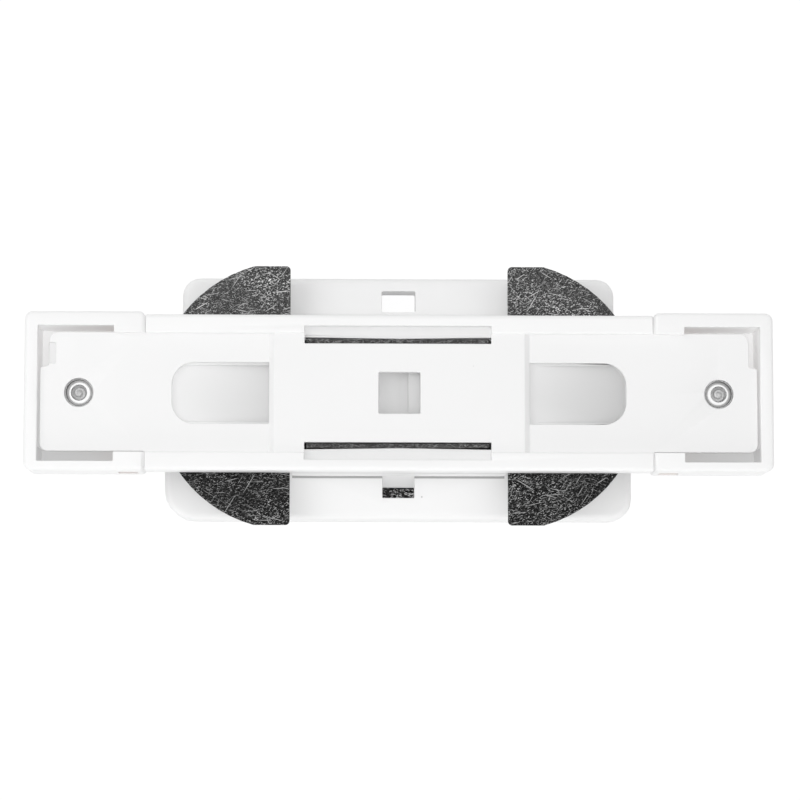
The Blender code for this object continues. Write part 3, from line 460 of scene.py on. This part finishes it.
def painted_cavity_glow(material, glow, *boxes):
    """Painted glow: an emission that brightens the plastic deep inside the given boxes, in place of
    light in the cavities.
    """
    tree = material.node_tree
    shader = tree.nodes["Principled BSDF"]
    total = None
    for low, high in boxes:
        inside = place_group(tree, BOX, Low=low, High=high).outputs["Mask"]
        total = inside if total is None else combine(tree, "MAXIMUM", total, inside)
    light = blended(tree, total, (0, 0, 0, 1), (glow, glow, glow, 1))
    tree.links.new(light, shader.inputs["Emission Color"])
    shader.inputs["Emission Strength"].default_value = 1.0


def dark_steel(name):
    """Bare dark sheet steel: speckled all over, and covered in short bright scratches; painted shade
    on the front wings and on the scratches in the slots, and a painted sheen on the back wings.
    """
    material, tree, shader = new_material(name)
    speckle = place_group(tree, SPECKLE, Fineness=4300.0, Contrast=0.09)
    dashes = place_group(tree, SCRATCHES, Amount=1.0, Length=1300.0, Fineness=4500.0, Threshold=0.675)
    lines = place_group(tree, SCRATCHES, Amount=0.8, Length=140.0, Fineness=4200.0, Threshold=0.71)
    place = object_place(tree)
    cloud = add_node(tree, "ShaderNodeTexNoise", inputs={"Scale": 150.0, "Detail": 3.0})
    tree.links.new(place, cloud.inputs["Vector"])
    patch = ramp(tree, 0.35, 0.65, 0.35, 1.0)
    tree.links.new(cloud.outputs["Fac"], patch.inputs["Value"])
    parts = add_node(tree, "ShaderNodeSeparateXYZ")
    tree.links.new(place, parts.inputs[0])
    # Painted light: the tones run from the shaded front to the sheen at the back, along Y
    side = ramp(tree, FRONT_STEEL_TO, BACK_STEEL_FROM)
    tree.links.new(parts.outputs["Y"], side.inputs["Value"])
    # Painted shade: the scratches inside the slots are dimmed to SLOT_SHADE
    distance = combine(tree, "ABSOLUTE", parts.outputs["Y"], 0)
    far_out = combine(tree, "GREATER_THAN", distance, SLOT_STEEL_TO)
    slot_painted_shade = combine(tree, "ADD", combine(tree, "MULTIPLY", far_out, 1 - SLOT_SHADE), SLOT_SHADE)
    patchy = combine(tree, "MULTIPLY", dashes.outputs["Mask"], patch.outputs[0])
    marks = combine(tree, "MAXIMUM", patchy, lines.outputs["Mask"])
    marks = combine(tree, "MULTIPLY", marks, slot_painted_shade)
    tones = {}
    for tone in STEEL_FRONT_PAINTED_SHADE:
        front, back = ((*[side_tones[tone]] * 3, 1) for side_tones in (STEEL_FRONT_PAINTED_SHADE, STEEL_BACK_PAINTED_SHEEN))
        tones[tone] = blended(tree, side.outputs[0], front, back)
    color = blended(tree, speckle.outputs["Mask"], tones["dark"], tones["grey"])
    color = blended(tree, marks, color, tones["light"])
    tree.links.new(color, shader.inputs["Base Color"])
    rough = ramp(tree, 0.0, 1.0, 0.45, 0.30)
    tree.links.new(marks, rough.inputs["Value"])
    tree.links.new(rough.outputs[0], shader.inputs["Roughness"])
    bump_from(tree, shader, speckle.outputs["Mask"], 0.10, 0.02 * MM)
    shader.inputs["Metallic"].default_value = 1.0
    return material


def washer_zinc():
    """A flat zinc washer: bright round its middle, dull further out, and dark at its edge with painted
    shade from the hole's wall.
    """
    material, tree, shader = new_material("washer_zinc")
    parts = add_node(tree, "ShaderNodeSeparateXYZ")
    tree.links.new(object_place(tree), parts.inputs[0])
    either_end = combine(tree, "ABSOLUTE", parts.outputs["X"], 0)
    across = combine(tree, "SUBTRACT", either_end, WASHER_CENTRE[0])
    along = combine(tree, "SUBTRACT", parts.outputs["Y"], WASHER_CENTRE[1])
    squares = [combine(tree, "MULTIPLY", part, part) for part in (across, along)]
    radius = combine(tree, "SQRT", combine(tree, "ADD", *squares), 0)
    bright_middle = ramp(tree, *WASHER_BRIGHT_RING, 1.0, 0.0)
    # Painted shade: the ring at the edge, under the hole's wall, goes dark
    edge = ramp(tree, *WASHER_EDGE_SHADE_RING)
    for part in (bright_middle, edge):
        tree.links.new(radius, part.inputs["Value"])
    speckle = place_group(tree, SPECKLE, Fineness=2600.0, Contrast=0.3).outputs["Mask"]
    dull = blended(tree, speckle, (0.26, 0.26, 0.26, 1), (0.46, 0.46, 0.46, 1))
    color = blended(tree, bright_middle.outputs[0], dull, (0.95, 0.95, 0.95, 1))
    color = blended(tree, edge.outputs[0], color, (0.10, 0.10, 0.10, 1))
    tree.links.new(color, shader.inputs["Base Color"])
    rough = ramp(tree, 0.0, 1.0, 0.42, 0.25)
    tree.links.new(bright_middle.outputs[0], rough.inputs["Value"])
    tree.links.new(rough.outputs[0], shader.inputs["Roughness"])
    bump_from(tree, shader, speckle, 0.1, 0.01 * MM)
    shader.inputs["Metallic"].default_value = 0.7
    return material


def plated_metal(name, color, roughness, fineness, metallic=1.0):
    """Zinc-plated screws and drawn copper strip: a soft grain with faint scratches."""
    material, tree, shader = new_material(name)
    speckle = place_group(tree, SPECKLE, Fineness=fineness, Contrast=0.3)
    scratches = place_group(tree, SCRATCHES, Amount=0.3, Length=160.0, Fineness=3000.0, Threshold=0.7)
    dark = tuple(channel * 0.72 for channel in color[:3]) + (1,)
    tone = blended(tree, speckle.outputs["Mask"], dark, color)
    tone = blended(tree, scratches.outputs["Mask"], tone, SCRATCH_BRIGHT)
    tree.links.new(tone, shader.inputs["Base Color"])
    rough = ramp(tree, 0.0, 1.0, roughness + 0.08, roughness - 0.04)
    tree.links.new(speckle.outputs["Mask"], rough.inputs["Value"])
    tree.links.new(rough.outputs[0], shader.inputs["Roughness"])
    bump_from(tree, shader, speckle.outputs["Mask"], 0.08, 0.01 * MM)
    shader.inputs["Metallic"].default_value = metallic
    return material


def at_both_heads(low, high):
    """A box of the right plug head, after its twin in the left one."""
    return ((-high[0], *low[1:]), (-low[0], *high[1:])), (low, high)


CAVITIES = at_both_heads(CAVITY_LOW, CAVITY_HIGH)
FRONT_GAPS = at_both_heads(CAVITY_LOW, (CAVITY_HIGH[0], FRONT_GAP_Y, CAVITY_HIGH[2]))
# Painted shade in the centre window, on the pockets' floors and on the ledges
BAR_PLASTIC = white_plastic("bar_plastic", 0.36, [
    (WINDOW_LOW, (0, *WINDOW_HIGH[1:]), LEFT_WINDOW_PAINTED_SHADE),
    ((0, *WINDOW_LOW[1:]), WINDOW_HIGH, RIGHT_WINDOW_PAINTED_SHADE),
    (POCKET_LOW, POCKET_HIGH, LEFT_POCKET_PAINTED_SHADE),
    ((POCKET_LOW_X, *POCKET_LOW[1:]), (POCKET_END, *POCKET_HIGH[1:]), RIGHT_POCKET_PAINTED_SHADE),
    ((-LEDGE_END, LEDGE_EDGE, LEDGE_LOW_Z), (LEDGE_END, RIM_RECESS, LEDGE_HIGH_Z), LEDGE_PAINTED_SHADE),
    ((-LEDGE_END, -RIM_RECESS, LEDGE_LOW_Z), (LEDGE_END, -LEDGE_EDGE, LEDGE_HIGH_Z), LEDGE_PAINTED_SHADE),
])
# Painted shade on the cover's corner step
COVER_PLASTIC = white_plastic(
    "cover_plastic", 0.42, [(CORNER_STEP_LOW, CORNER_STEP_HIGH, CORNER_STEP_PAINTED_SHADE)], COVER_WHITE,
)
# Painted shade in the heads' front gaps, and a painted glow in their cavities
HEAD_PLASTIC = white_plastic(
    "plug_head_plastic", 0.34, [(*gap, FRONT_GAP_PAINTED_SHADE) for gap in FRONT_GAPS],
)
painted_cavity_glow(HEAD_PLASTIC, CAVITY_GLOW, *CAVITIES)
# Painted shadow under the skirt's foot
BASE_PLASTIC = white_plastic(
    "base_plastic", 0.4, [(SKIRT_FOOT_LOW, SKIRT_FOOT_HIGH, SKIRT_FOOT_PAINTED_SHADOW)], BASE_WHITE,
)
PLATE_STEEL = dark_steel("fixing_plate_steel")
CATCH_STEEL = dark_steel("catch_steel")
SCREW_ZINC = plated_metal("screw_zinc", ZINC_GREY, 0.3, 5200.0, metallic=0.3)
WASHER_ZINC = washer_zinc()
LINK_COPPER = plated_metal("link_copper", COPPER_TONE, 0.32, 4200.0)


# Pieces

def split_at(work, axis, place):
    """Cuts the faces along a plane, with a seam that stays when flat faces are joined."""
    geometry = work.verts[:] + work.edges[:] + work.faces[:]
    normal = [0, 0, 0]
    normal["XYZ".index(axis)] = 1
    point = [place * way for way in normal]
    made = bmesh.ops.bisect_plane(
        work, geom=geometry, dist=WELD / 2, plane_co=point, plane_no=normal,
    )
    for item in made["geom_cut"]:
        if isinstance(item, bmesh.types.BMEdge):
            item.seam = True


def welded_copy(node, cuts=()):
    """A CAD node with whole flat faces, split only where a cut passes through their holes."""
    work = bmesh.new()
    work.from_mesh(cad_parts[node].data)
    bmesh.ops.remove_doubles(work, verts=work.verts, dist=WELD)
    for axis, place in cuts:
        split_at(work, axis, place)
    bmesh.ops.dissolve_limit(
        work, angle_limit=math.radians(0.3), verts=work.verts, edges=work.edges,
        delimit={"SEAM"},
    )
    return work


def finished(name, work, material, slot, *nodes):
    """An object made from a bmesh, which stands for CAD nodes and rides on the part."""
    mesh = bpy.data.meshes.new(name)
    work.to_mesh(mesh)
    work.free()
    mesh.shade_smooth()
    mesh.set_sharp_from_angle(angle=SHARP_TURN)
    mesh.materials.append(material)
    piece = bpy.data.objects.new(name, mesh)
    bpy.context.scene.collection.objects.link(piece)
    if nodes:
        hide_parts(*nodes)
    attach(piece, "root")
    return piece


def soften(piece, width):
    """Rounds the sharp edges of a piece a little, as a mould or a press does."""
    bevel = piece.modifiers.new("soft_edges", "BEVEL")
    bevel.width = width
    bevel.segments = EDGE_STEPS
    bevel.limit_method = "ANGLE"
    bevel.angle_limit = SHARP_TURN
    bevel.use_clamp_overlap = False
    bevel.harden_normals = True
    bevel.miter_outer = "MITER_ARC"
    return piece


def near(value, place):
    """Whether a coordinate is all but at a place."""
    return abs(value - place) < CLOSE


def fit_cover_to_rims(work):
    """Closes the cover's side gap, where the real cover touches the rims and the back blocks."""
    channel = BAR_WIDTH / 2 - RIM_THICKNESS
    for side in (-1, 1):
        split_at(work, "X", side * BAR_END)
        split_at(work, "X", side * (BAR_END + HEAD_JOINT))
    for vert in work.verts:
        beyond = abs(vert.co.y) - COVER_STRETCH_FROM
        if beyond < 0:
            continue
        touches = vert.co.y > 0 or abs(vert.co.x) < BAR_END + HEAD_JOINT / 2
        edge = channel + COVER_BITE if touches else channel - COVER_HAIRLINE
        stretch = (edge - COVER_STRETCH_FROM) / (COVER_HIGH[1] - COVER_STRETCH_FROM)
        vert.co.y = math.copysign(COVER_STRETCH_FROM + beyond * stretch, vert.co.y)


def shape_cover_top(work):
    """Slopes the raised centre's steps, fits the cut-outs to the steel, and lengthens the pockets."""
    split_at(work, "Z", COVER_TOP)
    for vert in work.verts:
        x, y = abs(vert.co.x), abs(vert.co.y)
        if near(x, POCKET_LOW_X) and near(vert.co.z, COVER_HIGH[2]):
            vert.co.x = math.copysign(x - COVER_STEP_SLOPE, vert.co.x)
        if x < CUT_OUT_END + CLOSE and near(y, CUT_OUT_EDGE):
            vert.co.y = math.copysign(SLOT_EDGE, vert.co.y)
        if near(vert.co.x, CUT_OUT_END):
            vert.co.x = SLOT_RIGHT_END
        in_round_end = POCKET_HIGH_X - POCKET_ROUND - CLOSE < x < POCKET_HIGH_X + CLOSE
        if in_round_end and y < POCKET_SIDE + CLOSE:
            vert.co.x = math.copysign(x + POCKET_END - POCKET_HIGH_X, vert.co.x)


def fit_pocket_floors(work):
    """Widens the pockets' floors under the cover, with a brim that shuts the gap below it."""
    middle = (POCKET_LOW_X + POCKET_HIGH_X) / 2
    half = (POCKET_HIGH_X - POCKET_LOW_X) / 2 - POCKET_END_GAP
    new_middle = (POCKET_LOW_X + POCKET_END) / 2
    new_half = (POCKET_END - POCKET_LOW_X) / 2 + POCKET_GROW
    grow_y = (POCKET_SIDE + POCKET_GROW) / (POCKET_SIDE - POCKET_SIDE_GAP)
    for vert in work.verts:
        if in_pocket(vert.co):
            x = new_middle + (abs(vert.co.x) - middle) * new_half / half
            vert.co.x = math.copysign(x, vert.co.x)
            vert.co.y *= grow_y
    work.normal_update()
    floors = [
        face for face in work.faces
        if face.normal.z > 0.8 and all(in_pocket(vert.co) for vert in face.verts)
    ]
    bmesh.ops.inset_region(work, faces=floors, thickness=POCKET_BRIM, depth=0, use_even_offset=True)
    work.normal_update()
    for vert in work.verts:
        rises = [face.normal.z > 0.5 for face in vert.link_faces]
        if in_pocket(vert.co) and any(rises) and not all(rises):
            vert.co.z = COVER_UNDERSIDE + BRIM_BITE


def in_pocket(place):
    """Whether a place of the bar lies on a pocket's raised floor."""
    room = 2 * POCKET_GROW
    in_length = POCKET_LOW_X - room < abs(place.x) < POCKET_END + room
    return in_length and abs(place.y) < POCKET_SIDE + room and place.z > POCKET_FLOOR


def widen_shelf(work):
    """Takes the shelf in the centre window to the window's sides."""
    for vert in work.verts:
        x, y = vert.co.x, abs(vert.co.y)
        in_window = MM < x < WINDOW_SIDE and y < WINDOW_SIDE
        if not in_window or vert.co.z < POCKET_FLOOR - CLOSE:
            continue
        if x > SHELF_FROM:
            vert.co.x = SHELF_END
        if y > MM:
            vert.co.y = math.copysign(SHELF_END, vert.co.y)


def temporary(name, work):
    """An object that is only needed while another is cut."""
    mesh = bpy.data.meshes.new(name)
    work.to_mesh(mesh)
    work.free()
    piece = bpy.data.objects.new(name, mesh)
    bpy.context.scene.collection.objects.link(piece)
    return piece


def without_boxes(work, boxes):
    """A piece with boxes cut out of it."""
    blocks = bmesh.new()
    for low, high in boxes:
        middle = (Vector(low) + Vector(high)) / 2
        size = Vector(high) - Vector(low)
        place = Matrix.Translation(middle) @ Matrix.Diagonal((*size, 1))
        bmesh.ops.create_cube(blocks, size=1.0, matrix=place)
    body = temporary("body", work)
    cutter = temporary("cutter", blocks)
    cut = body.modifiers.new("cut", "BOOLEAN")
    cut.operation = "DIFFERENCE"
    cut.object = cutter
    graph = bpy.context.evaluated_depsgraph_get()
    mesh = bpy.data.meshes.new_from_object(body.evaluated_get(graph))
    for piece in (body, cutter):
        spent = piece.data
        bpy.data.objects.remove(piece, do_unlink=True)
        bpy.data.meshes.remove(spent)
    result = bmesh.new()
    result.from_mesh(mesh)
    bpy.data.meshes.remove(mesh)
    return result


def recess_rims(work):
    """Cuts the rims back to the ledges beside the two slots."""
    boxes = []
    for side in (-1, 1):
        near_y, far_y = sorted((side * LEDGE_CAD_EDGE, side * RIM_RECESS))
        low = (-CUT_OUT_END, near_y, LEDGE_TOP)
        high = (SLOT_RIGHT_END, far_y, RIM_TOP + MM)
        boxes.append((low, high))
    return without_boxes(work, boxes)


def fit_ledges(work):
    """Makes room beside the ledges for the leaning steel, and takes them to the slots' ends."""
    for vert in work.verts:
        x, y = abs(vert.co.x), abs(vert.co.y)
        if not near(x, LEDGE_CAD_END) or y < LEDGE_CAD_EDGE - CLOSE:
            continue
        vert.co.x = math.copysign(LEDGE_END, vert.co.x)
        if near(y, LEDGE_CAD_EDGE):
            vert.co.y = math.copysign(LEDGE_EDGE, vert.co.y)


def close_joint(work, side):
    """Moves a head's inner end face up to the bar's end."""
    for vert in work.verts:
        if abs(vert.co.x * side - (BAR_END + HEAD_JOINT)) < 10 * WELD:
            vert.co.x = side * (BAR_END + JOINT_HAIRLINE)


def moulded(node, work, material):
    """The surface that stands for a node of white plastic."""
    soften(finished(f"{node}_surface", work, material, "white_plastic", node), PLASTIC_EDGE)


def pressed(node, work, material):
    """The surface that stands for a node of sheet steel."""
    soften(finished(f"{node}_surface", work, material, "dark_steel", node), STEEL_EDGE)


def plastic_pieces():
    """The mouldings: base, face cover, bar, plug heads and insulating cover."""
    across = [("X", 0), ("Y", 0)]
    for node in ("base_housing", "face_cover"):
        moulded(node, welded_copy(node, across + [("X", -CLIP_X), ("X", CLIP_X)]), BASE_PLASTIC)
    bar = welded_copy("bar_housing", across)
    fit_pocket_floors(bar)
    widen_shelf(bar)
    fit_ledges(bar)
    moulded("bar_housing", recess_rims(bar), BAR_PLASTIC)
    for word, side in (("left", -1), ("right", 1)):
        cuts = [("Y", 0), ("Y", EARTH_Y), ("X", side * SCREW_X), ("X", side * LEAF_X)]
        head = welded_copy(f"{word}_plug_head", cuts)
        close_joint(head, side)
        moulded(f"{word}_plug_head", head, HEAD_PLASTIC)
    cover = welded_copy("insulating_cover", across + [("X", -SCREW_X), ("X", SCREW_X)])
    fit_cover_to_rims(cover)
    shape_cover_top(cover)
    moulded("insulating_cover", cover, COVER_PLASTIC)


def steel_pieces():
    """The fixing plate, with its folded sides leaning a little, and the catch in the notch."""
    plate = welded_copy("fixing_plate", [("X", 0), ("Y", 0)])
    for vert in plate.verts:
        if near(vert.co.z, FOLD_TOP):
            vert.co.y += math.copysign(FOLD_LEAN, vert.co.y)
        if near(vert.co.x, FOLD_CAD_END) and abs(vert.co.y) > EARTH_Y:
            vert.co.x = FOLD_RIGHT_END
    pressed("fixing_plate", plate, PLATE_STEEL)
    pressed("front_catch", welded_copy("front_catch"), CATCH_STEEL)


def screw_thread(name, node):
    """The helical thread round a cover screw's upper shank, which narrows to the point."""
    low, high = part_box(node)
    centre_x = (low[0] + high[0]) / 2
    work = bmesh.new()
    half = THREAD_PITCH * THREAD_FLANK
    corners = [(THREAD_ROOT, -half), (THREAD_CREST, 0), (THREAD_ROOT, half)]
    verts = [work.verts.new((radius, 0, height)) for radius, height in corners]
    face = work.faces.new(verts)
    bmesh.ops.spin(
        work, geom=[face, *face.edges, *face.verts], cent=(0, 0, 0), axis=(0, 0, 1),
        dvec=(0, 0, THREAD_PITCH / THREAD_STEPS), angle=math.tau * THREAD_TURNS,
        steps=THREAD_STEPS * THREAD_TURNS, use_merge=False,
    )
    top = max(vert.co.z for vert in work.verts)
    for vert in work.verts:
        below = top - vert.co.z
        narrow = min(1.0, THREAD_TIP_SHARE + below / THREAD_POINT)
        vert.co.x *= narrow
        vert.co.y *= narrow
    bmesh.ops.translate(work, vec=(centre_x, 0, high[2] - top - THREAD_DROP), verts=work.verts)
    bmesh.ops.recalc_face_normals(work, faces=work.faces)
    return finished(name, work, SCREW_ZINC, "zinc_steel")


def metal_nodes():
    """The CAD nodes that keep their own shape and take a finished metal."""
    for node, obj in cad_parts.items():
        if node.endswith("_washer"):
            material = WASHER_ZINC
        elif node.endswith("_screw"):
            material = SCREW_ZINC
        elif node.endswith(("_contact", "_rivet", "_busbar", "_strap")):
            material = LINK_COPPER
        else:
            continue
        obj.data.materials.clear()
        obj.data.materials.append(material)


# Stage

def white_for_sight(tree):
    """1 for rays from the camera, reflections and glass, and 0 for light on surfaces."""
    path = add_node(tree, "ShaderNodeLightPath")
    seen = combine(tree, "MAXIMUM", path.outputs["Is Camera Ray"], path.outputs["Is Glossy Ray"])
    return combine(tree, "MAXIMUM", seen, path.outputs["Is Transmission Ray"])


def studio_world():
    """A soft dome that is brightest overhead, and plain white where it is seen."""
    world = bpy.data.worlds.new("studio")
    bpy.context.scene.world = world
    world.use_nodes = True
    tree = world.node_tree
    tree.nodes.clear()
    direction = add_node(tree, "ShaderNodeTexCoord").outputs["Generated"]
    parts = add_node(tree, "ShaderNodeSeparateXYZ")
    tree.links.new(direction, parts.inputs[0])
    height = ramp(tree, 0.0, 1.0, HORIZON, ZENITH)
    tree.links.new(parts.outputs["Z"], height.inputs["Value"])
    dome = add_node(tree, "ShaderNodeBackground", inputs={"Color": (1, 1, 1, 1)})
    tree.links.new(height.outputs[0], dome.inputs["Strength"])
    white = add_node(tree, "ShaderNodeBackground", inputs={"Color": (1, 1, 1, 1), "Strength": 1.0})
    mix = add_node(tree, "ShaderNodeMixShader")
    tree.links.new(white_for_sight(tree), mix.inputs[0])
    tree.links.new(dome.outputs[0], mix.inputs[1])
    tree.links.new(white.outputs[0], mix.inputs[2])
    output = add_node(tree, "ShaderNodeOutputWorld")
    tree.links.new(mix.outputs[0], output.inputs["Surface"])


def pale_floor():
    """A pale floor that is seen as white, and keeps a trace of the object's shadow."""
    work = bmesh.new()
    bmesh.ops.create_grid(work, x_segments=1, y_segments=1, size=FLOOR_SIZE / 2)
    bmesh.ops.translate(work, vec=(0, 0, CAD_BOUNDS[0][2] - FLOOR_DROP), verts=work.verts)
    mesh = bpy.data.meshes.new("floor")
    work.to_mesh(mesh)
    work.free()
    material, tree, shader = new_material("floor_white")
    shader.inputs["Base Color"].default_value = FLOOR_COLOR
    shader.inputs["Roughness"].default_value = 0.9
    shader.inputs["Specular IOR Level"].default_value = 0.0
    glow = add_node(tree, "ShaderNodeEmission", inputs={"Color": (1, 1, 1, 1), "Strength": FLOOR_GLOW})
    share = combine(tree, "MULTIPLY", white_for_sight(tree), FLOOR_WHITE_SHARE)
    mix = add_node(tree, "ShaderNodeMixShader")
    tree.links.new(share, mix.inputs[0])
    tree.links.new(shader.outputs[0], mix.inputs[1])
    tree.links.new(glow.outputs[0], mix.inputs[2])
    tree.links.new(mix.outputs[0], tree.nodes["Material Output"].inputs["Surface"])
    mesh.materials.append(material)
    floor = bpy.data.objects.new("floor", mesh)
    bpy.context.scene.collection.objects.link(floor)


def camera_away():
    """The direction from the object to the camera."""
    return Vector((
        math.sin(CAMERA_SIDE),
        -math.sin(CAMERA_TILT) * math.cos(CAMERA_SIDE),
        math.cos(CAMERA_TILT) * math.cos(CAMERA_SIDE),
    ))


def ring_light():
    """Light from round the lens, which reaches down into the deep places that the camera sees."""
    lamp = bpy.data.lights.new("ring_light", "AREA")
    lamp.shape = "DISK"
    lamp.size = RING_SIZE
    lamp.energy = RING_POWER
    holder = bpy.data.objects.new("ring_light", lamp)
    bpy.context.scene.collection.objects.link(holder)
    distance = CAMERA_DISTANCE + RING_BEHIND_LENS
    holder.location = Vector((0, 0, RIM_TOP)) + camera_away() * distance
    holder.rotation_euler = camera_away().to_track_quat("Z", "Y").to_euler()
    holder.visible_glossy = False
    holder.visible_camera = False


def soft_lamp(name, place, power, in_gloss=True):
    """A round soft lamp that is aimed at the object."""
    lamp = bpy.data.lights.new(name, "AREA")
    lamp.shape = "DISK"
    lamp.size = LAMP_SIZE
    lamp.energy = power
    holder = bpy.data.objects.new(name, lamp)
    bpy.context.scene.collection.objects.link(holder)
    holder.location = place
    holder.rotation_euler = Vector(place).to_track_quat("Z", "Y").to_euler()
    holder.visible_glossy = in_gloss


def camera():
    data = bpy.data.cameras.new("camera")
    data.sensor_width = CAMERA_SENSOR
    field = FRAME_PIXELS / PIXELS_PER_MM * MM
    data.lens = CAMERA_SENSOR * CAMERA_DISTANCE / field
    data.clip_start = 0.01
    holder = bpy.data.objects.new("camera", data)
    bpy.context.scene.collection.objects.link(holder)
    target = Vector((AIM_SHIFT[0], AIM_SHIFT[1], RIM_TOP))
    away = camera_away()
    right = (Vector((1, 0, 0)) - away * away.x).normalized()
    turn = Matrix((right, away.cross(right), away)).transposed().to_4x4()
    roll = Matrix.Rotation(CAMERA_ROLL, 4, "Z")
    holder.matrix_world = Matrix.Translation(target + away * CAMERA_DISTANCE) @ turn @ roll
    bpy.context.scene.camera = holder


def build():
    bpy.context.scene.view_settings.view_transform = "Standard"
    plastic_pieces()
    steel_pieces()
    metal_nodes()
    screw_thread("left_cover_screw_thread", "left_cover_screw")
    screw_thread("right_cover_screw_thread", "right_cover_screw")
    studio_world()
    pale_floor()
    ring_light()
    soft_lamp("side_lamp", SIDE_LAMP_PLACE, SIDE_LAMP_POWER)
    soft_lamp("front_lamp", FRONT_LAMP_PLACE, FRONT_LAMP_POWER, in_gloss=False)
    camera()


build()
